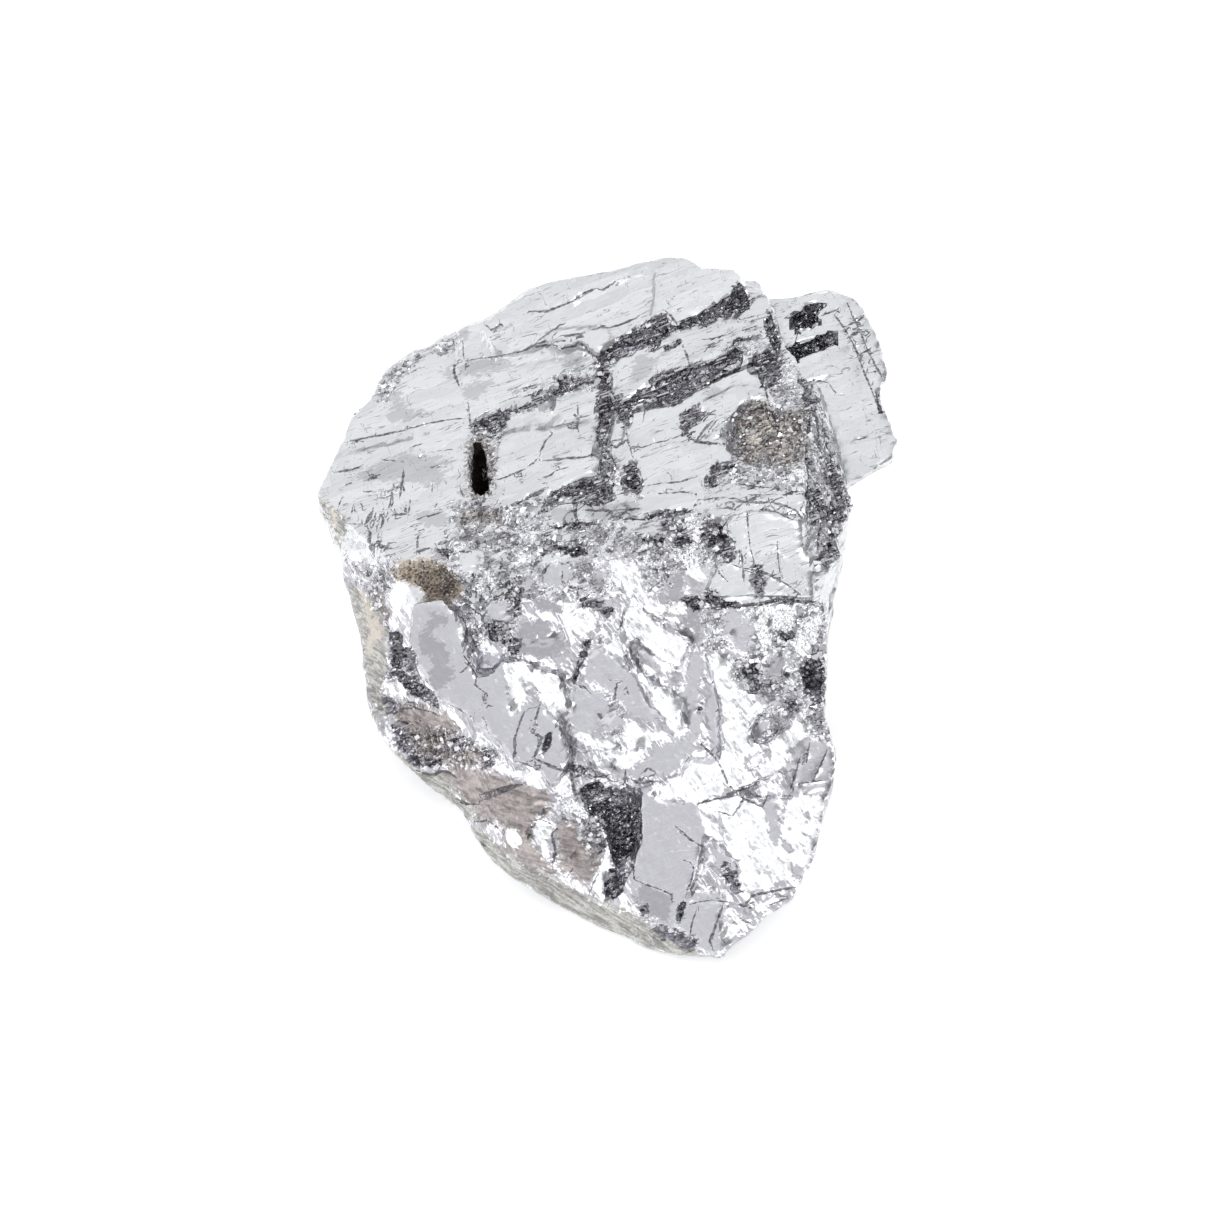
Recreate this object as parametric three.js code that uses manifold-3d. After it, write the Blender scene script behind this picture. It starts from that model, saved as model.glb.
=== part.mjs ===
// Galena specimen: one broken lump of lead ore, grown and cleaved as a single piece.
//
// Galena splits along three flat planes at right angles, so the lump is made the way it breaks.
// A rough body stands on a flat cleavage face. Its shown side leans back and is cut by a few
// large facets: the stepped upper face, two lower faces, the slopes of host rock along the lower
// left edge and the rough right wall. Plates and laths stand proud of the facets, slots and pits
// are sunk in them, and a second crystal with its own cleavage grows out behind the right wall.
//
// Everything is in millimetres. The frame has +Z up, the shown side towards -Y, and its origin
// on the resting surface, under the middle of the lump. The shown side is drawn in a face frame:
// u to the right, w up the lean, q straight out of it.
import * as THREE from "three";
import { mergeVertices } from "three/addons/utils/BufferGeometryUtils.js";
import Module from "manifold-3d";

const wasm = await Module();
wasm.setup();

// ---- driving dimensions, in mm and degrees ----
const leanBack = 40; // angle between the face frame's u-w plane and the horizontal
const faceOrigin = [0, 0, 21.5]; // where the face frame's origin lies above the resting surface
const faceOver = 30; // how far the raw bodies run out past the facets that cut them
const rimDrop = 0.6; // the silhouette's rim lies this far under the facets
const backBulge = 2.4; // how far the back walls belly out between rim and foot
const rimGrow = 0.4; // the rim runs this far outside the drawn silhouette
const plateRoot = 2.5; // how deep a plate is rooted under its facet
const galenaColor = 0xb4b7bd;

// The silhouette of the main mass in the face frame, clockwise from its top: [u, w].
const massOutline = [
  [6.3, 35], [8.1, 34.7], [9.4, 33.8], [12.8, 33.5], [13.4, 32.6], [15, 32.6], [15.7, 31.1],
  [16.5, 29.5], [17.4, 26.1], [18.6, 24.7], [19.3, 22.7], [20.5, 22.3], [21.3, 21.2],
  [22.3, 18.2], [22.9, 15.7], [23.8, 11.7], [24.1, 10], [23.6, 7.9], [22.8, 7], [22.7, 5.1],
  [21.6, 3.3], [20.8, 3.4], [21.1, 0.5], [21.6, -1.3], [21.5, -9.3], [21.2, -9.9], [22.1, -13.5],
  [22.4, -15.5], [22.1, -18.3], [21.3, -20.4], [20.3, -25.1], [19, -27.5], [18.3, -29.1],
  [15.8, -30.5], [14.5, -31.9], [12.1, -33.9], [11.5, -34.8], [8.6, -34.6], [6.1, -34.4],
  [4.3, -33.9], [1.8, -32.7], [-0.7, -31.8], [-4.7, -29.7], [-8.7, -27.4], [-11.5, -25.1],
  [-13.5, -22.3], [-14.4, -20.2], [-17.7, -17.9], [-20.9, -14.9], [-22.7, -12.5], [-23.7, -10.3],
  [-24.1, -8.1], [-24.5, -3.3], [-25.7, 1.2], [-26.4, 2.9], [-26.3, 5.1], [-27.1, 6.7],
  [-28.7, 10.1], [-28.8, 11.7], [-28.2, 12.7], [-26.8, 15.9], [-26.3, 16.9], [-25.7, 18.8],
  [-24.9, 19.7], [-23.5, 21], [-22.6, 23.5], [-20.9, 24.8], [-19.5, 25.8], [-18.2, 26],
  [-16.7, 27], [-14.7, 28], [-12.4, 28.7], [-10.4, 29.8], [-7.7, 31.9], [-5.7, 32.6],
  [-2.7, 33.2], [0.5, 33.6], [3.3, 34.4],
];

// The footprint on the resting surface, seen from above, clockwise from the back: [x, y].
const footprint = [
  [4, 28], [15, 25], [20.5, 15], [20.5, -2], [20, -13.5], [15, -21.5], [10.5, -27], [0, -23.2],
  [-6, -18.3], [-10.5, -13.5], [-14, -9], [-17, -3.5], [-19.5, 5], [-18, 15], [-9, 24],
];

// Large facets of the shown side: q = out + slopeU * (u - at[0]) + slopeW * (w - at[1]).
const facets = {
  upper: { at: [-0.7, 4.7], out: 12, slopeU: 0.34, slopeW: -0.61 },
  lowerLeft: { at: [-4.7, -1.3], out: 11.5, slopeU: 0.3, slopeW: 0.05 },
  lowerRight: { at: [-0.7, 4.7], out: 12, slopeU: 0.1, slopeW: 0.22 },
  rightWall: { at: [19.6, 23], out: 7.7, slopeU: -2, slopeW: -0.6 },
  rindSide: { at: [-20.7, -5.3], out: 6.5, slopeU: 0.98, slopeW: 0.71 },
  rindFoot: { at: [-4.7, -26.3], out: 4.8, slopeU: 0.45, slopeW: 0.89 },
  rindHollow: { at: [-4.7, -18.8], out: 8, slopeU: 0.45, slopeW: 0.2 },
  rindTop: { at: [-26.2, 8.7], out: 0.9, slopeU: 1.35, slopeW: 0.6 },
  rindPale: { at: [-22.9, 0.7], out: 6.1, slopeU: 1.3, slopeW: 0.15 },
};

// Plates and laths on the stepped upper face, each `rise` above it.
const upperPlates = {
  topShelf: {
    rise: 2.4,
    points: [
      [-9.1, 32.5], [-7.5, 33.6], [-2.7, 34.5], [3.3, 35.7], [6.5, 36.3], [10.9, 34.7],
      [13.1, 34.3], [13.5, 32.7], [12.6, 31.6], [12.5, 31], [11.3, 30.3], [9.3, 29.6],
      [7.3, 28.5], [5.5, 28.8], [3.3, 28.5], [0.5, 26.4], [-0.9, 25.1], [-2.9, 26.7],
      [-4.7, 25.9], [-6.2, 26.7], [-8.7, 25.9], [-10.7, 25.5], [-12.9, 27.9], [-11.2, 30.2],
    ],
  },
  topEdgeLath: {
    rise: 2.9,
    points: [
      [-9.2, 32.2], [-5.7, 34.2], [0.5, 34.9], [3.8, 35.9], [4.8, 34.5], [0.8, 32.6],
      [-1.2, 32.1], [-3.7, 30.7], [-6.7, 29.9],
    ],
  },
  topRightLath: {
    rise: 3.1,
    points: [
      [4.8, 36.1], [9.3, 35.1], [13.1, 34.5], [13.5, 32.7], [12.6, 31.6], [9.3, 30.7],
      [4.3, 29.3], [4.8, 32.2],
    ],
  },
  middleShelf: {
    rise: 1.2,
    points: [
      [-1.7, 25.7], [0.5, 27.2], [3.3, 29.3], [7.3, 29.5], [11.3, 31.1], [13.4, 33.1],
      [15.7, 31.9], [17.3, 29.5], [17.1, 27.5], [16.3, 26.2], [15, 25.1], [13.8, 24.5],
      [12.8, 26.1], [10.8, 24.9], [8.3, 23.9], [5.3, 23], [3.3, 21.9], [1.5, 20.5], [0.5, 20.9],
      [-0.9, 22.7],
    ],
  },
  middleLath: { rise: 1.7, points: [
    [12.8, 28.9], [14.3, 30.7], [15.7, 31.7], [17.3, 29.9], [16.7, 29.3],
  ] },
  leftShelf: {
    rise: 1,
    points: [
      [-27.2, 16.9], [-26.2, 19.7], [-23.5, 22.2], [-22.6, 24.5], [-19.5, 26.7], [-16.7, 28],
      [-12.4, 29.5], [-9.7, 30.7], [-6.2, 27.7], [-0.7, 25.7], [-0.1, 22.5], [-1.7, 22.7],
      [-4.2, 22.9], [-5.4, 21.9], [-7.2, 20.5], [-10.4, 19.3], [-11.9, 19.9], [-13.7, 18.7],
      [-14, 20.2], [-14.4, 19.1], [-20.7, 18],
    ],
  },
  leftEdgeLath: {
    rise: 1.6,
    points: [
      [-15.4, 28.5], [-12.4, 29.5], [-9.7, 30.9], [-7.2, 30.7], [-8.7, 28.9], [-10.7, 27.7],
      [-10.7, 25.2], [-13.7, 25], [-15.2, 24.5],
    ],
  },
  darkBlock: { rise: 1.9, points: [[-7.5, 21.1], [-6.1, 22.1], [-5.9, 20.5], [-7.1, 20.3]] },
  lathCorner: {
    rise: 3,
    points: [
      [-7.2, 27.3], [-5.1, 28.1], [-0.7, 28.5], [0.5, 27.7], [-0.9, 25.5], [-2.9, 26.9],
      [-4.7, 26.1],
    ],
  },
  leftFloor: {
    rise: 0.4,
    points: [
      [-27.2, 15.2], [-20.9, 16.7], [-14.5, 18.3], [-14, 16.7], [-13.7, 12.9], [-20.7, 12.3],
      [-28.2, 11.5],
    ],
  },
  rightFloor: {
    rise: 0.5,
    points: [
      [2.1, 19.5], [5.3, 20.3], [9.3, 21.9], [13.3, 24.1], [15, 23.2], [15.3, 21.2],
      [13.3, 19.7], [11.6, 17], [12.8, 13.7], [9.3, 12.7], [3.3, 11.5], [2.3, 14.1], [1.5, 16.7],
    ],
  },
  rightFloorLath: { rise: 1, points: [
    [2.1, 19.3], [5.3, 20.1], [8.5, 21.3], [9.3, 16.9], [3.3, 16.7], [1.7, 17.3],
  ] },
  blotchLath: { rise: 0.9, points: [
    [9.3, 20.5], [12.8, 22.3], [14.5, 22.1], [13.1, 19.9], [11.5, 17.5], [9.9, 16.7],
  ] },
  cheekPlate: { rise: 0.5, points: [
    [-10.7, 17.5], [-1.7, 18.7], [-1.3, 13.7], [-4.7, 12.1], [-10.7, 10.7], [-11.5, 13.7],
  ] },
};

// Plates on the lower faces, each lying on a plane of its own, written as the facets are.
const lowerPlates = {
  squareBlock: {
    at: [16, 5], out: 15, slopeU: 0.1, slopeW: 0.1,
    points: [
      [11.6, 8.7], [13.8, 9.5], [16.3, 9.5], [19.3, 8.7], [19.5, 6.2], [20.3, 4.7], [20.5, 0.9],
      [17.8, 1], [9.8, 1.1], [10.5, 3.2], [12.8, 5.1], [12.1, 6.7],
    ],
  },
  leftFace: {
    at: [-12, -7], out: 9.3, slopeU: 0.24, slopeW: 0.14,
    points: [
      [-19.5, 0.2], [-16.7, 0.7], [-15.2, -0.5], [-13.9, -3.3], [-12.9, -7.3], [-10.7, -5.8],
      [-9.9, -8.3], [-9.4, -10.8], [-6.7, -9.8], [-5.2, -10.8], [-3.7, -14.8], [-4.2, -16.3],
      [-5.7, -18.3], [-6.7, -16.3], [-9.7, -15.5], [-10.7, -13.8], [-14.2, -10.8], [-16.7, -9.3],
      [-18.7, -6.3], [-19.9, -3.3],
    ],
  },
  featherLath: {
    at: [4.5, -3], out: 11.7, slopeU: 0.22, slopeW: 0.3,
    points: [[1.5, -0.5], [2.8, -0.1], [8.3, -3.3], [7.1, -6.3], [5.3, -5.3], [1.8, -2.3]],
  },
  featherEdge: {
    at: [3, -7], out: 11, slopeU: 0.05, slopeW: 0.24,
    points: [
      [0.5, -2.3], [1.8, -3.3], [3.3, -6.5], [5.3, -8.1], [7.3, -9.3], [7.8, -12.8], [4.3, -9.8],
    ],
  },
  rightFeather: {
    at: [14, -11], out: 11, slopeU: 0.02, slopeW: 0.16,
    points: [
      [9.8, -4.5], [11.3, -4.8], [13.8, -8.3], [16.8, -9.3], [14.8, -11.3], [14.1, -14.3],
      [16.3, -13.3], [19.3, -11.3], [20.3, -12.3], [18.3, -13.8], [17.3, -16.3], [14.3, -17.8],
      [12.3, -18.3], [11.3, -15.3], [11.1, -9.3],
    ],
  },
  rightFace: {
    at: [20, -16], out: 10.1, slopeU: -0.12, slopeW: 0.1,
    points: [[17.8, -12.8], [22.5, -13.5], [22.8, -18.8], [19.3, -19.5], [17.8, -16.3]],
  },
  centreFeather: {
    at: [8, -17.5], out: 9, slopeU: 0.16, slopeW: 0.3,
    points: [
      [4.3, -17.3], [7.3, -17.1], [8.3, -15.3], [10.8, -15.5], [11.8, -18.3], [9.3, -19.3],
      [5.8, -19.3],
    ],
  },
  footBlock: {
    at: [15, -24], out: 8.3, slopeU: 0.04, slopeW: 0.32,
    points: [
      [9.3, -19.6], [13.3, -18.8], [15.3, -19.3], [21.8, -18.8], [21.5, -23.8], [20.1, -27.1],
      [18.3, -30.1], [13.5, -34.1], [11.5, -29.3], [13.5, -26.3], [10.8, -23.3],
    ],
  },
  footFace: {
    at: [7, -26], out: 7, slopeU: 0.12, slopeW: 0.28,
    points: [
      [3.3, -17.9], [5.8, -19.4], [8.8, -19.3], [9.9, -22.3], [8.8, -27.3], [7.8, -29.3],
      [11.3, -29.3], [11.8, -35.1], [8.3, -35.3], [4.8, -34.3], [1.5, -28.3], [2.5, -26.3],
      [3.3, -23.3],
    ],
  },
  smallFeather: {
    at: [-5, -9], out: 9.9, slopeU: 0.2, slopeW: 0.3,
    points: [
      [-10.7, -5.3], [-8.7, -5.5], [-4.7, -7.1], [-3.9, -10.5], [-4.7, -11.1], [-6.2, -9.3],
      [-7.7, -8.3], [-9.4, -10.8], [-10.1, -6.8],
    ],
  },
  flatSquare: {
    at: [-10.6, -0.3], out: 10.9, slopeU: 0.12, slopeW: 0.1,
    points: [[-12, 0.7], [-9.4, 1], [-9.2, -1.3], [-11.8, -1.6]],
  },
};

// Hollows: `depth` below the surface at the rim, narrowing to `taper` of the rim at the floor.
const hollows = {
  deepSlot: {
    depth: 4.5, taper: 0.75,
    points: [
      [-13.5, 16.6], [-12.7, 16.7], [-12.4, 15.7], [-12.2, 14.5], [-11.9, 13.3], [-11.9, 12.2],
      [-12.1, 11.5], [-13.4, 11.3], [-13.6, 12.7],
    ],
  },
  wedgePit: { depth: 0.9, taper: 0.5, points: [
    [-13.7, 18.3], [-10.7, 19.3], [-10.3, 18], [-11.9, 17.7],
  ] },
  blockPit: { depth: 1, taper: 0.6, points: [[1.6, 14.1], [3.1, 14.3], [3.5, 11.5], [2, 11.3]] },
  beltPit: {
    depth: 0.9, taper: 0.6,
    points: [[-6.2, 10.4], [-2.7, 12.7], [-0.7, 12.9], [0.5, 11.7], [0.5, 10.7], [-2.7, 10.4]],
  },
  rustHollow: {
    depth: 1, taper: 0.8,
    points: [
      [13.3, 19.7], [15, 20.5], [17.8, 19.2], [19.3, 19.3], [19.9, 15.7], [19.1, 14.2],
      [16.3, 13.7], [13.8, 14.2], [11.8, 15.7], [11.6, 17.1],
    ],
  },
  limoniteHollow: {
    depth: 2, taper: 0.55,
    points: [
      [-21.9, 3.5], [-20.7, 4.3], [-18.2, 4.7], [-16.2, 4.1], [-14.6, 1.7], [-15, 0.7],
      [-16.7, 1], [-18.2, 1.4], [-18.9, 2.4], [-20.7, 2.7],
    ],
  },
  cornerPit: { depth: 1.6, taper: 0.5, points: [
    [-16.4, 3.7], [-15.4, 3.5], [-15.1, 1.1], [-16.3, 1.1],
  ] },
  darkRecess: {
    depth: 3.6, taper: 0.5,
    points: [
      [-2.5, -17.8], [-0.7, -17.3], [1.3, -16.8], [2.5, -17.3], [3.3, -19.8], [3.1, -23.3],
      [2.5, -24.8], [0.7, -26.1], [0.5, -24.3], [-0.4, -22.8], [-0.7, -20.8], [-2.2, -20.1],
    ],
  },
  recessTail: { depth: 1.4, taper: 0.5, points: [
    [-0.3, -26.1], [1.1, -26.1], [1.5, -29.1], [0.1, -29.5],
  ] },
  leftPit: {
    depth: 1, taper: 0.6,
    points: [
      [-22.1, -2.5], [-19.9, -2.3], [-19.1, -6.1], [-17, -7.7], [-17.3, -9.7], [-20.3, -8.7],
      [-21.9, -6.1],
    ],
  },
  smallPits: {
    depth: 0.7, taper: 0.5,
    points: [
      [-12.2, -1.5], [-10.7, -1.7], [-10.3, -3.3], [-8.7, -3.1], [-8.9, -4.3], [-11.7, -3.3],
    ],
  },
  edgePit: { depth: 0.8, taper: 0.6, points: [
    [19.3, -5.3], [21.1, -4.8], [21.3, -9.1], [19.9, -9.3],
  ] },
};

// Cracks and the dark gaps between laths: [width, depth, point, point, ...].
const cracks = [
  [1.5, 1, [-0.4, 24.5], [-0.1, 22.2], [0.1, 20.2], [-0.3, 18.2], [-0.5, 15.7], [0.5, 12.1]],
  [0.6, 0.7, [1.5, 20.5], [2.1, 18.7], [1.9, 16.7], [3.1, 14.2]],
  [0.5, 0.5, [-26.3, 17], [-20.7, 17.9], [-14.4, 18.9]],
  [0.6, 0.8, [14.1, 8.5], [15, 4.7], [15.3, 1.2]],
  [0.35, 0.5, [13.4, 5.4], [13.5, 2.7]],
  [0.3, 0.5, [13.8, 4.2], [15.3, 3.5], [17.8, 2.2], [19, 0.9]],
  [0.7, 1.1, [7.8, 0.7], [12.8, 0.1], [15.3, 0.6], [20.5, 0.4]],
  [0.4, 0.5, [-14.3, -1.3], [-13.9, -3.3], [-14.4, -4.8], [-13.7, -5.8], [-13, -6.8], [-13.2, -7.8],
    [-12, -8.8]],
  [0.5, 0.6, [-8.5, -10.6], [-9.4, -13.5], [-9.3, -15.3], [-6.7, -16]],
  [0.4, 0.5, [-6.7, -9.8], [-7.5, -12.5], [-6.5, -13], [-7.3, -15.1], [-4, -16.4]],
  [0.6, 0.8, [-1.9, -3], [-2.7, -5.3], [-3.3, -7.7]],
  [0.4, 0.5, [11.1, -15.8], [12.3, -18.3], [13.8, -18.3]],
  [0.4, 0.5, [11, -20.4], [12.5, -20.9], [13.6, -19.1], [15.6, -19.8]],
  [0.4, 0.6, [6.9, -22], [9.3, -23.8]],
  [0.5, 0.7, [7.6, -29.4], [7.3, -30.5], [7.1, -31.5]],
  [0.35, 0.5, [2.9, -27.5], [6.5, -28.8], [7.7, -29.2]],
  [0.4, 0.6, [11.5, -30.3], [10.9, -31.8], [10.3, -33.3], [10.7, -34.1]],
  [0.35, 0.5, [19.3, -14.8], [18.3, -18]],
  [0.35, 0.5, [21.5, -14.8], [20.5, -17.3]],
  [0.5, 0.5, [-20.7, -16.8], [-16.7, -19.1], [-14.5, -21.5], [-12.9, -24.1], [-9.9, -27.1]],
  [0.4, 0.5, [-17.7, -16.3], [-14.5, -18.5], [-12.3, -22.1], [-10.1, -24.9], [-4.7, -28.1],
    [1.3, -31.3]],
];

// The second crystal, behind and below the right wall.
const sideCrystal = {
  facet: { at: [23.3, 20.7], out: 0, slopeU: -0.05, slopeW: -0.35 },
  outline: [
    [13.8, 30.1], [16.1, 30.7], [17.8, 30.8], [19.3, 30.9], [21.3, 31.4], [22.5, 31.6],
    [24.3, 31.1], [25, 30.8], [25.8, 29.4], [26.8, 27.5], [27.3, 25.7], [27.9, 23.6],
    [27.1, 21.7], [27.3, 20.3], [28.2, 18.3], [28.7, 16.7], [28.3, 14.9], [26.8, 14.2],
    [23.8, 12.4], [20.8, 10.7], [17.3, 13.7], [15.3, 22.7],
  ],
  hollows: [
    {
      depth: 1.4, taper: 0.7,
      points: [
        [18.5, 29.4], [19.9, 29.8], [19.9, 30.7], [21.5, 30.9], [21.9, 30.5], [21.1, 29.5],
        [21.5, 28.7], [19.3, 27.8], [19, 28.7],
      ],
    },
    {
      depth: 1.2, taper: 0.7,
      points: [
        [17.9, 26.1], [22.7, 27.8], [23.2, 26.6], [19.6, 25.3], [19.3, 24.6], [18.1, 25.4],
      ],
    },
  ],
  cracks: [
    [0.5, 0.6, [23.6, 30.2], [24.3, 27.2], [25.5, 24.7], [26.3, 22.2], [27.3, 20.2]],
    [0.3, 0.4, [24.5, 30.7], [25.9, 26.7], [27.1, 24.2]],
    [0.3, 0.4, [19.3, 22.3], [20.8, 22.9], [21.9, 22.7]],
    [0.3, 0.4, [24.3, 16.7], [26.3, 17.2]],
  ],
};
// How it narrows as it runs back into the mass: [depth, share of its outline left there].
const sideCrystalTaper = [[4, 1], [9, 0.93], [17, 0.78], [26, 0.45]];
const sideCrystalLean = 16; // how far it would lean towards the mass if it tapered to nothing
const sideCrystalGrow = 0.5; // its rim runs this far outside its drawn outline

// Small broken blocks, aligned with the cleavage: a belt across the middle, the rust patch, the
// right wall and the torn ground between the lower plates.
const crumbBelts = [
  {
    count: 15, size: [1.3, 2.8], rise: 0.5,
    points: [
      [-15.7, 8.2], [-12.7, 10], [-6.7, 10], [-0.7, 9], [8.3, 8.5], [11.5, 6.7], [12.5, 5.1],
      [3.3, 4.5], [-10.7, 4.5], [-15.2, 3.9],
    ],
  },
  { count: 5, size: [1, 1.8], rise: 0.3, points: [
    [13.3, 19.2], [17.8, 18.7], [19.3, 15.7], [13.8, 14.5],
  ] },
  {
    count: 7, size: [1.4, 3], rise: 0.4,
    points: [[19.9, 21.2], [21.3, 20.5], [23.1, 10.7], [22.1, 4.7], [20.1, 6.7]],
  },
  {
    count: 11, size: [1.2, 2.6], rise: 0.4,
    points: [
      [-10.7, 3.2], [1.3, 3.2], [1.3, -0.3], [-0.7, -9.3], [4.3, -11.3], [-0.7, -17.3],
      [-3.2, -11.3], [-4.7, -3.3], [-9.7, -3.3],
    ],
  },
  {
    count: 7, size: [1.2, 2.6], rise: 0.4,
    points: [[3.3, 3.7], [9.3, 3.7], [8.3, -3.3], [20.8, -0.3], [18.3, -8.3], [9.3, -3.3]],
  },
  {
    count: 5, size: [1.2, 2.4], rise: 0.4,
    points: [[-10.7, -19.3], [-3.2, -19.3], [-0.7, -28.3], [-5.7, -27.3], [-10.7, -23.3]],
  },
  { count: 3, size: [1, 2], rise: 0.3, points: [
    [-26.2, 1.7], [-22.2, 0.7], [-22.2, -9.3], [-23.9, -8.3],
  ] },
];

// Broken cleavage blocks on the hidden walls, and the notches that others left there.
const backBlocks = { count: 21, size: [7, 15], proud: 0.2, seed: 41 };
const backNotches = { count: 8, size: [6, 12], proud: 0.62, seed: 9 };
const sideBlocks = { count: 5, size: [4, 9], depth: [8, 16], inset: 0.8, lean: 0.35, seed: 23 };
const blockTurn = 0.25; // radians, the most a block is turned out of line with the cleavage
const blockHeight = [0.15, 1]; // where blocks sit on a wall, from its rim at 0 to its foot at 1
const shownWalls = -0.55; // walls that face the shown side more than this carry no blocks
const crumbSeed = 7;
const crumbTurn = 0.3; // radians
const crumbRoot = 0.35; // share of a crumb's height that is grown into the ground

// Cuts into the surface.
const hollowOver = 2; // how far a hollow's cutter stands above the ground
const crackOver = 0.8; // the same for a crack's cutter
const crackEnd = 0.45; // share of a crack's width and depth left at either end
const crackFloor = 0.08; // half the width of a crack's floor, as a share of its width
const facetReach = 80; // half the side of the space that a facet cuts away
const facetHeight = 400; // how high that space is

// ---- planes and depths ----
const depthAt = (facet, u, w) =>
  facet.out + facet.slopeU * (u - facet.at[0]) + facet.slopeW * (w - facet.at[1]);
const surfaceAt = (u, w) => Math.min(...Object.values(facets).map((f) => depthAt(f, u, w)));
const normalOf = (facet) => new THREE.Vector3(-facet.slopeU, -facet.slopeW, 1).normalize();

function isInside([u, w], outline) {
  let inside = false;
  outline.forEach(([au, aw], i) => {
    const [bu, bw] = outline[(i + 1) % outline.length];
    if (aw > w !== bw > w && u < au + ((w - aw) / (bw - aw)) * (bu - au)) inside = !inside;
  });
  return inside;
}

// The depth of the shown side at (u, w), with its plates.
function reliefAt(u, w) {
  const depths = [surfaceAt(u, w)];
  for (const plate of Object.values(upperPlates))
    if (isInside([u, w], plate.points)) depths.push(depthAt(facets.upper, u, w) + plate.rise);
  for (const plate of Object.values(lowerPlates))
    if (isInside([u, w], plate.points)) depths.push(depthAt(plate, u, w));
  return Math.max(...depths);
}

// ---- from the face frame to the part's frame, and between three.js and manifold ----
const faceToPart = new THREE.Matrix4()
  .makeRotationX(THREE.MathUtils.degToRad(leanBack))
  .setPosition(...faceOrigin);
const partToFace = faceToPart.clone().invert();

function toSolid(geometry) {
  const bare = geometry.clone();
  bare.deleteAttribute("normal");
  bare.deleteAttribute("uv");
  const merged = mergeVertices(bare, 1e-4);
  return new wasm.Manifold(
    new wasm.Mesh({
      numProp: 3,
      vertProperties: new Float32Array(merged.attributes.position.array),
      triVerts: new Uint32Array(merged.index.array),
    }),
  );
}

function toGeometry(solid) {
  const mesh = solid.getMesh();
  const geometry = new THREE.BufferGeometry();
  geometry.setAttribute("position", new THREE.BufferAttribute(mesh.vertProperties, 3));
  geometry.setIndex(new THREE.BufferAttribute(mesh.triVerts, 1));
  return geometry;
}

const joined = (solids) => solids.reduce((whole, solid) => whole.add(solid));

const flat = (points) => points.map(([u, w]) => new THREE.Vector2(u, w));

// The same outline, given clockwise, with every corner moved outwards.
function grown(points, distance) {
  return points.map(([u, w], i) => {
    const before = points.at(i - 1);
    const after = points[(i + 1) % points.length];
    const along = new THREE.Vector2(after[0] - before[0], after[1] - before[1]).normalize();
    return [u - along.y * distance, w + along.x * distance];
  });
}

function counterClockwise(points) {
  return THREE.ShapeUtils.isClockWise(flat(points)) ? [...points].reverse() : points;
}

// Stacked rings of equal count, the front one first, each following the same counter-clockwise
// outline, with a triangulated cap at each end.
function loft(rings, outline) {
  const count = rings[0].length;
  const triangles = [];
  const at = (ring, i) => ring * count + (i % count);
  for (let ring = 0; ring < rings.length - 1; ring++)
    for (let i = 0; i < count; i++) {
      triangles.push(at(ring, i), at(ring + 1, i), at(ring, i + 1));
      triangles.push(at(ring, i + 1), at(ring + 1, i), at(ring + 1, i + 1));
    }
  const last = rings.length - 1;
  const corners = flat(outline);
  for (const [a, b, c] of THREE.ShapeUtils.triangulateShape(corners, [])) {
    const leftTurn = THREE.ShapeUtils.area([corners[a], corners[b], corners[c]]) > 0;
    const [second, third] = leftTurn ? [b, c] : [c, b];
    triangles.push(a, second, third);
    triangles.push(at(last, a), at(last, third), at(last, second));
  }
  const geometry = new THREE.BufferGeometry().setFromPoints(rings.flat());
  geometry.setIndex(triangles);
  return toSolid(geometry);
}

// A prism over an outline of the face frame: its top lies on a plane, its walls follow `along`.
function prism(points, topDepth, along) {
  const outline = counterClockwise(points);
  const top = outline.map(([u, w]) => new THREE.Vector3(u, w, topDepth(u, w)));
  const bottom = top.map((point) => point.clone().add(along));
  return loft([top, bottom], outline);
}

// ---- what stands proud of the facets ----
function plate(points, facet, rise) {
  const normal = normalOf(facet);
  const lift = rise / normal.z;
  const along = normal.multiplyScalar(-(rise + plateRoot));
  return prism(points, (u, w) => depthAt(facet, u, w) + lift, along);
}

// ---- what is sunk in them ----
function hollow({ points, depth, taper }, groundAt, facet) {
  const outline = counterClockwise(points);
  const normal = normalOf(facet);
  const centre = new THREE.Vector2();
  flat(outline).forEach((point) => centre.addScaledVector(point, 1 / outline.length));
  const top = outline.map(([u, w]) => new THREE.Vector3(u, w, groundAt(u, w)));
  const above = top.map((point) => point.clone().addScaledVector(normal, hollowOver));
  const floor = top.map((point) => {
    const u = centre.x + taper * (point.x - centre.x);
    const w = centre.y + taper * (point.y - centre.y);
    return new THREE.Vector3(u, w, groundAt(u, w)).addScaledVector(normal, -depth);
  });
  return loft([above, top, floor], outline);
}

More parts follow.
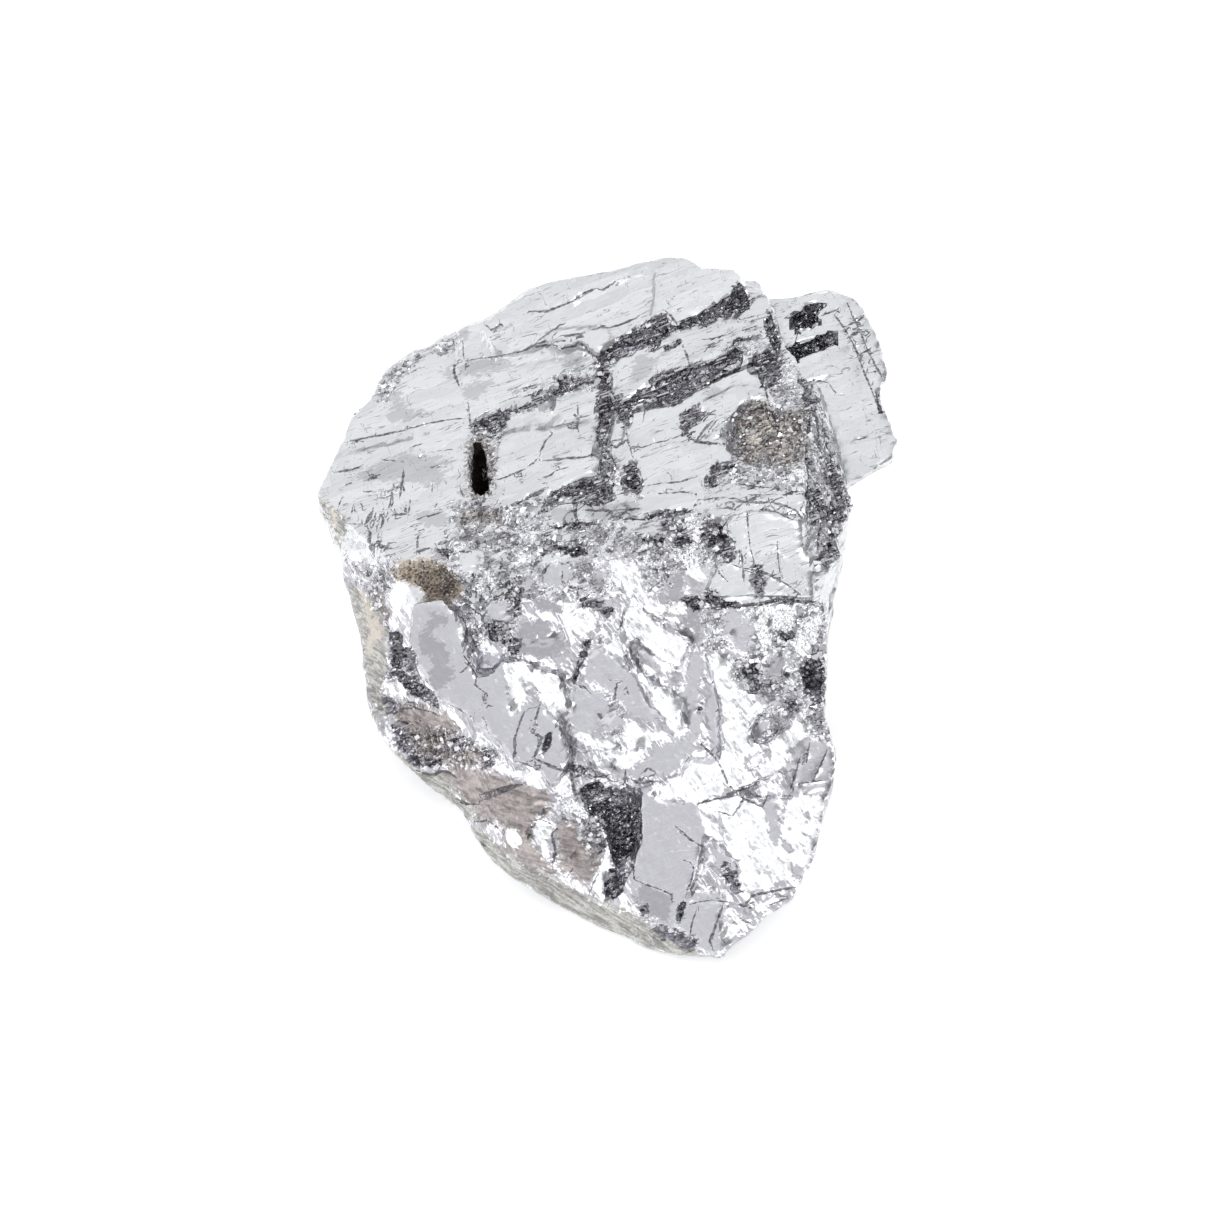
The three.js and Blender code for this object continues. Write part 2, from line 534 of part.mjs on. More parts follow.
// A V-shaped cut that follows a line of points.
function crack([width, depth, ...line], groundAt) {
  const sections = line.map(([u, w], i) => {
    const before = line[Math.max(0, i - 1)];
    const after = line[Math.min(line.length - 1, i + 1)];
    const side = new THREE.Vector2(-(after[1] - before[1]), after[0] - before[0]).normalize();
    const ground = groundAt(u, w);
    const end = i === 0 || i === line.length - 1 ? crackEnd : 1;
    const halfTop = (width / 2) * end * (1 + crackOver / depth);
    const halfFloor = width * crackFloor;
    const corner = (half, height) =>
      new THREE.Vector3(u + side.x * half, w + side.y * half, ground + height);
    return [
      corner(-halfTop, crackOver), corner(halfTop, crackOver),
      corner(halfFloor, -depth * end), corner(-halfFloor, -depth * end),
    ];
  });
  const triangles = [];
  const at = (section, i) => section * 4 + (i % 4);
  for (let s = 0; s < sections.length - 1; s++)
    for (let i = 0; i < 4; i++) {
      triangles.push(at(s, i), at(s + 1, i), at(s, i + 1));
      triangles.push(at(s, i + 1), at(s + 1, i), at(s + 1, i + 1));
    }
  const last = sections.length - 1;
  triangles.push(at(0, 0), at(0, 1), at(0, 2), at(0, 0), at(0, 2), at(0, 3));
  triangles.push(at(last, 0), at(last, 2), at(last, 1), at(last, 0), at(last, 3), at(last, 2));
  const geometry = new THREE.BufferGeometry().setFromPoints(sections.flat());
  geometry.setIndex(triangles);
  return toSolid(geometry);
}

// ---- broken cleavage blocks, in the directions of the upper face ----
const lathWay = new THREE.Vector3(0.94, 0.342, 0.111).normalize();
const crossWay = new THREE.Vector3().crossVectors(normalOf(facets.upper), lathWay);
const cleavage = new THREE.Matrix4().makeBasis(lathWay, crossWay, normalOf(facets.upper));

function seededRandom(seed) {
  let state = seed;
  return () => {
    state = (state * 1664525 + 1013904223) % 4294967296;
    return state / 4294967296;
  };
}

const between = (random, low, high) => THREE.MathUtils.lerp(low, high, random());

// A box in the face frame, with its sides along the cleavage but for a turn in its own plane.
function cleavageBlock(centre, sides, turn) {
  const geometry = new THREE.BoxGeometry(...sides);
  geometry.rotateZ(turn);
  geometry.applyMatrix4(cleavage);
  geometry.translate(...centre);
  return toSolid(geometry);
}

function crumbs({ count, size, rise, points }, random) {
  const box = new THREE.Box2().setFromPoints(flat(points));
  const blocks = [];
  while (blocks.length < count) {
    const u = between(random, box.min.x, box.max.x);
    const w = between(random, box.min.y, box.max.y);
    const sides = [0, 1, 2].map(() => between(random, ...size));
    const turn = between(random, -crumbTurn, crumbTurn);
    if (!isInside([u, w], points)) continue;
    const q = reliefAt(u, w) + rise * random() - sides[2] * crumbRoot;
    blocks.push(cleavageBlock([u, w, q], sides, turn));
  }
  return joined(blocks);
}

// ---- the raw bodies ----

// Distance from the frame's centre to the footprint's edge, in the plan direction of (x, y).
function footprintReach(x, y) {
  const reach = Math.hypot(x, y);
  const [dx, dy] = [x / reach, y / reach];
  for (let i = 0; i < footprint.length; i++) {
    const [ax, ay] = footprint[i];
    const [bx, by] = footprint[(i + 1) % footprint.length];
    const across = dx * (by - ay) - dy * (bx - ax);
    const along = (ax * (by - ay) - ay * (bx - ax)) / across;
    const share = (ax * dy - ay * dx) / across;
    if (along > 0 && share >= 0 && share <= 1) return along;
  }
  throw new Error("the footprint has to surround the frame's centre");
}

// Walls fall from the rim to the footprint, and belly out at the back, where the ore is thickest.
const wallSteps = [0, 0.3, 0.7, 1];

function wallAt(u, w, step) {
  const rim = new THREE.Vector3(u, w, surfaceAt(u, w) - rimDrop).applyMatrix4(faceToPart);
  const outward = new THREE.Vector3(rim.x, rim.y, 0).normalize();
  const foot = outward.clone().multiplyScalar(footprintReach(rim.x, rim.y));
  const bulge = backBulge * Math.max(0, outward.y) * Math.sin(Math.PI * step);
  const point = rim.lerp(foot, step).addScaledVector(outward, bulge);
  return { point, outward };
}

const rimOutline = grown(massOutline, rimGrow);

function rawMass() {
  const outline = counterClockwise(rimOutline);
  const over = outline.map(([u, w]) => {
    return new THREE.Vector3(u, w, surfaceAt(u, w) + faceOver).applyMatrix4(faceToPart);
  });
  const walls = wallSteps.map((step) => outline.map(([u, w]) => wallAt(u, w, step).point));
  return loft([over, ...walls], outline);
}

// Cleavage blocks set in the hidden walls: `proud` is how much of a block stands out of them.
function wallBlocks({ count, size, proud, seed }) {
  const random = seededRandom(seed);
  const blocks = [];
  while (blocks.length < count) {
    const [u, w] = rimOutline[Math.floor(random() * rimOutline.length)];
    const { point, outward } = wallAt(u, w, between(random, ...blockHeight));
    const sides = [0, 1, 2].map(() => between(random, ...size));
    const turn = between(random, -blockTurn, blockTurn);
    if (outward.y < shownWalls) continue;
    point.addScaledVector(outward, Math.min(...sides) * (proud - 0.5));
    const centre = point.applyMatrix4(partToFace);
    blocks.push(cleavageBlock(centre.toArray(), sides, turn));
  }
  return joined(blocks);
}

// Everything above a facet, to be cut away.
function spaceAbove(facet) {
  const [low, high] = [-facetReach, facetReach];
  const corners = [[low, low], [low, high], [high, high], [high, low]];
  const down = new THREE.Vector3(0, 0, -facetHeight);
  return prism(corners, (u, w) => depthAt(facet, u, w) + facetHeight, down);
}

function inPart(solid) {
  const geometry = toGeometry(solid);
  geometry.applyMatrix4(faceToPart);
  return toSolid(geometry);
}

function mainMass() {
  let mass = rawMass();
  for (const facet of Object.values(facets)) mass = mass.subtract(inPart(spaceAbove(facet)));
  return mass;
}

// The second crystal narrows as it runs back into the mass, and is cut by its own facet.
function secondCrystal() {
  const outline = counterClockwise(grown(sideCrystal.outline, sideCrystalGrow));
  const centre = new THREE.Vector2(...sideCrystal.facet.at);
  const inset = ([u, w], share) =>
    new THREE.Vector2(u, w).sub(centre).multiplyScalar(share).add(centre);
  const ring = (depth, share) =>
    outline.map((point) => {
      const spread = inset(point, share);
      return new THREE.Vector3(spread.x - (1 - share) * sideCrystalLean, spread.y, -depth);
    });
  const rings = [ring(-faceOver, 1), ...sideCrystalTaper.map((step) => ring(...step))];
  const random = seededRandom(sideBlocks.seed);
  const blocks = Array.from({ length: sideBlocks.count }, () => {
    const corner = outline[Math.floor(random() * outline.length)];
    const sides = [0, 1, 2].map(() => between(random, ...sideBlocks.size));
    const place = inset(corner, sideBlocks.inset);
    const depth = between(random, ...sideBlocks.depth);
    const centreOf = [place.x - depth * sideBlocks.lean, place.y, -depth];
    return cleavageBlock(centreOf, sides, blockTurn);
  });
  const within = prism(outline, () => faceOver, new THREE.Vector3(0, 0, -faceOver * 3));
  const crystal = loft(rings, outline).add(joined(blocks).intersect(within));
  const cuts = [spaceAbove(sideCrystal.facet)];
  const groundAt = (u, w) => depthAt(sideCrystal.facet, u, w);
  for (const pit of sideCrystal.hollows) cuts.push(hollow(pit, groundAt, sideCrystal.facet));
  for (const line of sideCrystal.cracks) cuts.push(crack(line, groundAt));
  return crystal.subtract(joined(cuts));
}

function relief() {
  const random = seededRandom(crumbSeed);
  const solids = [];
  for (const { points, rise } of Object.values(upperPlates))
    solids.push(plate(points, facets.upper, rise));
  for (const facet of Object.values(lowerPlates)) solids.push(plate(facet.points, facet, 0));
  for (const belt of crumbBelts) solids.push(crumbs(belt, random));
  return joined(solids);
}

function sunkenSpaces() {
  const solids = Object.values(hollows).map((pit) => hollow(pit, reliefAt, facets.upper));
  for (const line of cracks) solids.push(crack(line, reliefAt));
  return joined(solids);
}

// ---- the whole lump ----
const silhouette = prism(rimOutline, () => faceOver * 2, new THREE.Vector3(0, 0, -faceOver * 4));
const underground = new THREE.BoxGeometry(200, 200, 100).translate(0, 0, -50);

function wholeLump() {
  const stepped = mainMass()
    .add(inPart(wallBlocks(backBlocks).intersect(silhouette)))
    .subtract(inPart(wallBlocks(backNotches)));
  return stepped
    .add(inPart(relief().intersect(silhouette)))
    .subtract(inPart(sunkenSpaces()))
    .add(inPart(secondCrystal()))
    .subtract(toSolid(underground));
}

const lump = new THREE.Mesh(
  toGeometry(wholeLump()).toNonIndexed(),
  new THREE.MeshStandardMaterial({ color: galenaColor, metalness: 0.8, roughness: 0.35 }),
);
lump.name = "galena_specimen";
lump.geometry.computeBoundingBox();
const middle = lump.geometry.boundingBox.getCenter(new THREE.Vector3());
lump.geometry.translate(-middle.x, -middle.y, 0);

const specimen = new THREE.Group();
specimen.add(lump);
export default specimen;
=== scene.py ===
# Galena specimen: a lump of lead ore as it was broken out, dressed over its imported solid.
# The shown side is drawn in a face frame, in mm: u to the right, w up the lean, q out of it.
import bmesh
import bpy
import math
import numpy as np
from functools import partial
from mathutils import Matrix, Vector


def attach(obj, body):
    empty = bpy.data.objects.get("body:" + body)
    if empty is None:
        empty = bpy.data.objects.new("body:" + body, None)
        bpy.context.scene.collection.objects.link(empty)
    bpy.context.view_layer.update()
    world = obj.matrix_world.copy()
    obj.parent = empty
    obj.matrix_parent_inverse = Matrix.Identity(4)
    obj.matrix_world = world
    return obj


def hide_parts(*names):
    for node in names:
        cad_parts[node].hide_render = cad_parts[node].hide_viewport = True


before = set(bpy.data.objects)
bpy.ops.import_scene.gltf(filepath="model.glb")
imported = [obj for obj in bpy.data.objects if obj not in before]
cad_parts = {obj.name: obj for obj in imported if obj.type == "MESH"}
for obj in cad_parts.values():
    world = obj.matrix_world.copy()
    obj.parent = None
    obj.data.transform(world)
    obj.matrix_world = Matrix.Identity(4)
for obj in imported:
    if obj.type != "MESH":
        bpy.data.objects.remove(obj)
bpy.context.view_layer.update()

faceFrame = {
    "leanBack": 40.0,  # degrees between the shown side's plane and the floor
    "origin": (0.0, -3.427, 21.5),  # mm, where the face frame's origin lies in the row's frame
}
lean = math.radians(faceFrame["leanBack"])
faceToRow = np.array([
    [1, 0, 0],
    [0, math.cos(lean), -math.sin(lean)],
    [0, math.sin(lean), math.cos(lean)],
])
faceOrigin = np.array(faceFrame["origin"])


# row position in metres to face frame in mm: turn back by the lean about the origin
def toFace(points):
    return (np.asarray(points) * 1000 - faceOrigin) @ faceToRow


# face frame in mm to row position in metres: the same turn the other way
def toRow(points):
    return (np.asarray(points) @ faceToRow.T + faceOrigin) / 1000


# repeatable random number in 0..1 for whole-number lattice corners: a hashed sine, its fraction
def latticeValue(corner, seed):
    dots = corner @ np.array([127.1, 311.7, 74.7]) + seed * 53.3
    return np.modf(np.abs(np.sin(dots) * 43758.5453))[0]


# smooth noise in -1..1: corner values blended by 3t^2 - 2t^3 along each axis of the cell
def cellNoise(points, cell, seed):
    inCells = points / cell
    corner = np.floor(inCells)
    t = inCells - corner
    t = t * t * (3 - 2 * t)
    total = np.zeros(len(points))
    for i in range(8):
        offset = np.array([i & 1, i >> 1 & 1, i >> 2 & 1])
        share = np.prod(np.where(offset, t, 1 - t), axis=1)
        total += share * latticeValue(corner + offset, seed)
    return total * 2 - 1


# blocky noise in -1..1: each cell of the lattice holds one value
def blockNoise(points, cell, seed):
    return latticeValue(np.floor(points / np.asarray(cell)), seed) * 2 - 1


# slow noise and half as much of a finer one: the sum of both, in -1.5..1.5
def cloudNoise(points, sizes, seed):
    return cellNoise(points, sizes[0], seed) + 0.5 * cellNoise(points, sizes[1], seed + 1)


# 0 below low, 1 above high, and 3t^2 - 2t^3 of the share t of the way between
def smoothStep(low, high, value):
    t = np.clip((value - low) / (high - low), 0, 1)
    return t * t * (3 - 2 * t)


# distance to a line through the given points, negative on its right: that of the nearest stretch
def lineDistance(uw, line, closed=False):
    a = np.asarray(line, float)
    b = np.roll(a, -1, axis=0)
    if not closed:
        a, b = a[:-1], b[:-1]
    along = b - a
    reach = uw[:, None] - a
    share = np.clip((reach * along).sum(2) / (along ** 2).sum(1), 0, 1)
    distance = np.sqrt(((reach - share[..., None] * along) ** 2).sum(2))
    turn = along[:, 0] * reach[..., 1] - along[:, 1] * reach[..., 0]
    nearest = distance.argmin(1)[:, None]
    return np.take_along_axis(distance * np.where(turn < 0, -1, 1), nearest, 1)[:, 0]


# depth inside an outline, negative outside: distance to its edge, signed by crossing parity
def insideDepth(uw, outline):
    a = np.asarray(outline, float)
    b = np.roll(a, -1, axis=0)
    spans = (a[:, 1] > uw[:, 1:]) != (b[:, 1] > uw[:, 1:])
    rise = np.where(b[:, 1] == a[:, 1], 1, b[:, 1] - a[:, 1])
    crossing = a[:, 0] + (uw[:, 1:] - a[:, 1]) / rise * (b[:, 0] - a[:, 0])
    inside = (spans & (uw[:, :1] < crossing)).sum(1) % 2 == 1
    return np.abs(lineDistance(uw, outline, True)) * np.where(inside, 1, -1)


drawing = {
    "farAway": 4.0,  # mm outside, the distance given to a place that no outline or stroke comes near
    "strokeReach": 1.0,  # mm, places further than this from a stroke's box are left out
    "strokeTip": 0.3,  # share of its width that a stroke keeps at its ends
}


# depth inside the deepest of some outlines: the largest of their depths
def regionDepth(uw, outlines):
    reach = drawing["farAway"]
    depth = np.full(len(uw), -reach)
    for outline in outlines:
        points = np.asarray(outline, float)
        near = ((uw > points.min(0) - reach) & (uw < points.max(0) + reach)).all(1)
        depth[near] = np.maximum(depth[near], insideDepth(uw[near], points))
    return depth


# for strokes, of the deepest one: depth inside it (half its width, less near its ends, minus the
# distance to its line), the half width, and the distance with its side as sign
def strokeDepth(uw, strokes):
    reach = drawing["strokeReach"]
    depth = np.full(len(uw), -drawing["farAway"])
    half, aside = np.zeros(len(uw)), np.zeros(len(uw))
    for width, *line in strokes:
        points = np.asarray(line, float)
        near = np.flatnonzero(((uw > points.min(0) - reach) & (uw < points.max(0) + reach)).all(1))
        place = uw[near]
        fromStart = np.linalg.norm(place - points[0], axis=1)
        fromEnd = np.linalg.norm(place - points[-1], axis=1)
        fromTip = np.minimum(fromStart, fromEnd)
        wide = width / 2 * np.clip(drawing["strokeTip"] + fromTip, 0, 1)
        distance = lineDistance(place, points)
        deeper = wide - np.abs(distance) > depth[near]
        near, wide, distance = near[deeper], wide[deeper], distance[deeper]
        depth[near], half[near], aside[near] = wide - np.abs(distance), wide, distance
    return depth, half, aside


# What lies where on the shown side, in mm of the face frame.

# the half that faces the table: everything below the crushed belt
lowerOutlines = [
    [(-30.7, 3.2), (-26.2, 4.5), (-21.2, 0.1), (-15.7, 0.3), (-13.2, 2.2), (-8.7, 4.7), (-4.7, 4.2),
     (-0.7, 5.1), (4.3, 5.7), (9.3, 5.1), (9.8, 0.7), (15.3, 0.3), (23.3, 0.5), (25.3, -37.3),
     (3.3, -38.3), (-30.7, -19.3)],
]

# mirror-bright feathers of cleavage that lean into the light, painted near white: painted reflection
flashOutlines = [
    [(-10.2, -5.7), (-9.5, -5.3), (-8.7, -5.8), (-7.9, -5.5), (-7.7, -6.5), (-6.2, -5.8), (-5.8, -4.8),
     (-5.5, -6.6), (-4.7, -6.8), (-4.2, -7.8), (-3.6, -9.3), (-3.9, -10.5), (-4.5, -10.9), (-5.5, -10.5),
     (-6.2, -9.5), (-6.6, -8.3), (-7.2, -8.1), (-7.9, -8.6), (-8.7, -9.3), (-9, -10.9), (-9.4, -10.8),
     (-9.8, -9.3), (-10.1, -8.3), (-9.8, -7.3), (-10.3, -6.5)],
    [(-6.1, -9.3), (-5.1, -10.4), (-4.5, -11.5), (-3.7, -12.4), (-3.1, -13.1), (-4.1, -12.9), (-5.1, -12),
     (-5.7, -10.9)],
    [(-12.4, -3.1), (-11.7, -3.5), (-11, -4.3), (-10.2, -4.9), (-11.2, -5.1), (-12, -4.8), (-12.6, -4.1)],
    [(-7.2, -0.5), (-5.7, -0.6), (-4.3, -0.9), (-4.2, 0.4), (-3.2, 0.5), (-2.2, 0), (-1.4, -1.1),
     (-1, -2.1), (-1.9, -2.7), (-2.9, -2.9), (-3.7, -2.3), (-4.5, -1.5), (-5.9, -1.3), (-6.7, -1.1)],
    [(-4.7, -3.4), (-3.2, -3.1), (-3.6, -3.8), (-4.5, -4.1)],
    [(1.5, -0.7), (2.5, -0.1), (3.8, -0.9), (5.3, -1.8), (6.8, -2.7), (8.3, -3.6), (8, -4.5), (7.5, -6.1),
     (6.6, -7), (5.8, -6.5), (4.8, -5.3), (3.8, -4.5), (2.8, -3.3), (1.8, -2.3)],
    [(0.7, -2.6), (1.5, -2.4), (2.1, -3.3), (2.1, -4.8), (1.5, -5.3), (0.5, -4.8), (0.1, -4.1)],
    [(2.1, -5.8), (2.8, -6.1), (3.5, -7.1), (4.8, -7.9), (6.1, -8.3), (6.8, -9.3), (7.5, -9.8),
     (7.9, -11.3), (8.1, -12.4), (7.1, -12.9), (6.1, -12.3), (5.3, -10.8), (4.3, -9.8), (3.8, -8.8),
     (3.1, -7.8), (2.3, -6.8)],
    [(9.9, -4.8), (10.6, -4.3), (11.5, -4.9), (11.7, -6.1), (12.5, -6.3), (13.5, -7.1), (14.1, -8.1),
     (14.3, -9.1), (15.3, -9.8), (17.1, -9.3), (17.5, -10.1), (15.9, -10.7), (14.6, -10.5), (14.3, -12.8),
     (13.9, -14.8), (13.5, -16.3), (14.5, -17), (15.9, -15.9), (16.3, -14.5), (16.5, -13.3),
     (17.8, -12.1), (18.8, -11.3), (20.4, -12), (19.3, -13.3), (18.3, -14.3), (17.6, -15.8),
     (16.8, -16.8), (15.3, -17.1), (14.5, -17.9), (13.3, -18.1), (12.3, -18.3), (11.5, -17.1),
     (11.2, -15.8), (11.4, -14.3), (11.6, -12.8), (11.4, -10.8), (11.2, -9.3), (10.8, -8.3),
     (10.1, -6.8)],
    [(4.8, -18.3), (6.1, -17.5), (7.3, -17.1), (7.7, -15.8), (8.5, -15), (9.7, -15.3), (10.5, -15),
     (11.1, -15.8), (11.5, -17.3), (12.1, -18.3), (11.3, -19), (10.1, -19.1), (8.8, -19.5), (6.8, -19.4),
     (5.3, -19.3), (4.3, -18.6)],
    [(-3.3, -12.8), (-2.7, -12.6), (-0.7, -13), (1.3, -13.8), (0.3, -14.3), (-1.7, -13.9), (-2.9, -13.7)],
    [(-0.7, -14.8), (0.5, -14.5), (1.9, -15), (2.1, -13.8), (1.5, -12.8), (2.1, -11.4), (3.1, -11.8),
     (4.3, -12.3), (5.5, -12.9), (4.3, -13.5), (3.6, -14.3), (2.9, -15.5), (1.8, -16.4), (0.5, -15.8)],
    [(-10.4, -16.5), (-9.7, -16.3), (-8.5, -16.2), (-7.5, -16.1), (-6.7, -16.8), (-6, -17.9),
     (-5.7, -18.5), (-6.4, -18.2), (-7.7, -17.7), (-9.2, -17.1)],
    [(-5.1, -18.3), (-4.2, -16.9), (-3.5, -16.5), (-3.8, -17.8), (-4.7, -18.7)],
    [(9.1, -19.8), (10.8, -19.3), (12.8, -19), (13.8, -19.3), (15.8, -20.1), (15.9, -22.3), (16.3, -23.8),
     (17, -24.3), (17.4, -22.8), (17.8, -20.8), (18.1, -19.3), (19.3, -18.8), (21.3, -19), (21.5, -20.3),
     (20.8, -23.3), (20.3, -25.5), (19.3, -26.1), (18.3, -27.3), (16.8, -27.8), (15.8, -28.3),
     (14.5, -28.5), (14.1, -29.8), (13.3, -29.1), (12.9, -28.1), (13.5, -27.3), (12.8, -26.3),
     (12.1, -25.3), (11.8, -23.8), (10.8, -23.3), (10.2, -23.9), (9.8, -22.3), (9.3, -21.1)],
    [(-0.4, -22.1), (0, -22.5), (0.7, -24), (0.6, -25.5), (0.2, -26.5), (-0.4, -27.5), (-0.9, -29.3),
     (-1.7, -28.5), (-1.3, -27.1), (-0.7, -25.9), (-0.1, -24.5), (-0.3, -23.3)],
    [(1.1, -29.3), (1.5, -28.8), (2, -28.5), (2.3, -29.8), (3, -30.3), (3.5, -31.1), (3.8, -31.6),
     (2.5, -31), (1.5, -30.3)],
    [(-0.4, 3.2), (0.6, 3), (1.3, 3.2), (1.1, 1.7), (0.7, 0.9), (0, 1.5), (-0.5, 2)],
    [(0, 4.7), (1.8, 4.6), (2.8, 4.5), (3.3, 3.5), (3.5, 2.2), (4.1, 1), (4.3, -0.3), (3.5, 0.2),
     (2.5, 1.2), (1.7, 1.6), (1.3, 2.7), (0.5, 3.7)],
    [(7.9, 9.2), (8.7, 9.3), (9.1, 8.2), (9.9, 8), (9.8, 6.9), (9.1, 6.2), (8.3, 6.6), (8.5, 7.7),
     (7.8, 7.9)],
    [(6.3, 5.6), (8.3, 5.7), (9, 5.1), (9.6, 5), (9.3, 4.3), (9.8, 3.7), (10, 3), (9.3, 2.9), (8.7, 3.3),
     (8.1, 2.5), (7.9, 3.7), (7.5, 4.6), (6.7, 4.7)],
    [(-12, 2.9), (-11.1, 3), (-10.7, 2.2), (-10.9, 1.7), (-11.9, 1.7), (-12.3, 2.2)],
    [(-10.2, 2.4), (-9.4, 2.7), (-9.5, 1.9), (-10.1, 1.9)],
    [(-9.4, 5.2), (-8.7, 5.7), (-7.9, 5.4), (-8.2, 4.7), (-9, 3.7), (-9.5, 4.2)],
    [(-22.1, 1.7), (-21.2, 2.5), (-20.2, 2.2), (-19.9, 1.5), (-20.5, 0.5), (-20.9, -0.8), (-21.2, -2.5),
     (-21.8, -2.4), (-21.9, -1.1), (-21.5, -0.1), (-21.9, 0.9)],
    [(-13.2, -12.8), (-12.5, -12.5), (-11.7, -13.3), (-10.8, -14.1), (-11.4, -14.5), (-12.5, -14.1),
     (-13.1, -13.5)],
    [(-16.7, -9.9), (-15.7, -10.5), (-14.7, -11.1), (-13.6, -11.5), (-14.5, -11.9), (-15.7, -11.3)],
    [(15, 0), (15.7, 0.3), (16.3, 0.1), (16.5, -0.6), (16.2, -1.4), (15.8, -1.9), (16, -2.5),
     (16.5, -2.9), (16.6, -3.6), (16.3, -4.1), (15.7, -4.4), (15.3, -3.8), (15, -2.9), (14.9, -1.3)],
    [(16.9, -0.1), (17.7, 0.2), (18.5, 0.1), (18.8, -0.6), (18.6, -2.1), (17.9, -2.3), (17.3, -2.6),
     (16.7, -2.5), (16.3, -1.9), (16.5, -0.6)],
    [(19.9, -0.3), (20.7, 0.1), (21.5, -0.7), (21.6, -1.5), (21.1, -2), (21.2, -2.8), (21.1, -3.6),
     (20.5, -4.1), (20, -4.4), (19.4, -4.9), (19, -5.6), (18.7, -4.8), (18.5, -3.3), (18.9, -2.3),
     (19, -1.5), (19.7, -1.5), (20.4, -1)],
    [(17.8, -3.4), (18.5, -3.4), (18.7, -4), (18, -4.1)],
    [(17.4, -4.8), (18.1, -4.2), (18.5, -5), (18.7, -6.1), (18.1, -6.5), (17.5, -6.1)],
    [(14.4, -5.1), (15.3, -5.2), (15.7, -5.7), (15.3, -6), (14.6, -5.7)],
    [(18.1, -7.1), (18.9, -7.5), (18.3, -8.3), (17.9, -7.7)],
    [(2.5, -21.1), (3, -20.8), (3.1, -22.1), (2.6, -22.4)],
    [(-1.5, -21.5), (-1, -20.8), (-0.4, -20.6), (-0.3, -21.2), (-0.9, -21.4), (-1.3, -21.9)],
    [(-14.6, 9.3), (-13.9, 9.7), (-13.6, 9.2), (-14.1, 8.8)],
    [(-12.8, 6.6), (-12.1, 6.6), (-12.2, 5.9), (-12.9, 5.9)],
    [(-8.8, 4.2), (-8.2, 4.6), (-7.9, 4.2), (-8.3, 3.5), (-8.8, 3.6)],
    [(-7.5, 7.1), (-7.1, 7.5), (-7.5, 6.2), (-7.8, 6.5)],
    [(5.5, 6.5), (6.2, 6.9), (6.7, 6.7), (6.6, 6.2), (5.8, 6.1)],
    [(3.9, 1), (5.3, 0.5), (6.7, 0.7), (7.6, 0.6), (8.1, -0.1), (9.3, -0.5), (8.3, -1.1), (6.3, -0.5),
     (4.8, -0.7), (3.8, 0.1)],
    [(-10.2, -22.6), (-9.5, -22.1), (-8.7, -22.5), (-8.4, -23.6), (-8.7, -24.3), (-9.5, -24.1),
     (-10.1, -23.5)],
    [(-7.5, -21.9), (-6.7, -21.4), (-5.4, -21.9), (-5.4, -23.3), (-6.1, -23.5), (-5.5, -24.3),
     (-5.8, -25.5), (-6.6, -25.4), (-6.7, -24.3), (-7.6, -23.1)],
    [(17.6, 13.4), (18.8, 13.7), (19.6, 13.5), (19.2, 12.6), (17.9, 12.8)],
    [(-0.4, -22.6), (0.1, -23.1), (0.5, -24.3), (0.3, -25), (-0.3, -24.1)],
    [(7.3, 17.3), (7.9, 17.1), (7.5, 16.7)],
    [(11.3, -31.8), (12.3, -31.5), (14.1, -31.8), (12.8, -33.1), (11.9, -33.7), (11.3, -33.1)],
    [(15.8, -29.3), (17.8, -28.8), (16.8, -29.8), (15.3, -30.5), (14.5, -30.8)],
    [(-25.9, 5.5), (-24.9, 5.5), (-24.1, 5.1), (-24.9, 4.7), (-25.8, 4.8)],
    [(-3.5, -19.3), (-2.7, -19.9), (-1.7, -20.8), (-2.2, -21.3), (-3.5, -20.8), (-4.5, -21.3),
     (-4.7, -20.1)],
]

# smooth grey faces that also lie in shade
duskyGreys = [
    [(8.3, 0.7), (9.3, 0.2), (9.6, -3.3), (9.3, -4.1), (8.3, -3.3), (7.7, -1.8)],
    [(16.3, -4.8), (17.3, -4.6), (17.7, -5.3), (17.5, -6.1), (18.1, -6.7), (17.3, -7.2), (15.8, -7),
     (15.5, -6.3)],
    [(6.5, 3.4), (7.5, 3.5), (7.7, 2.2), (7.4, 0.7), (6.1, 0.6), (5.5, 1.5)],
    [(-7.2, 0.9), (-5.2, 0.5), (-4.1, -0.5), (-5.7, -0.3), (-6.9, 0)],
    [(-8.7, -1.3), (-6.2, -1.5), (-4.7, -2.8), (-3.9, -4.1), (-5.7, -4.8), (-7.2, -5.3), (-8.5, -4.5),
     (-9.3, -3.1)],
]

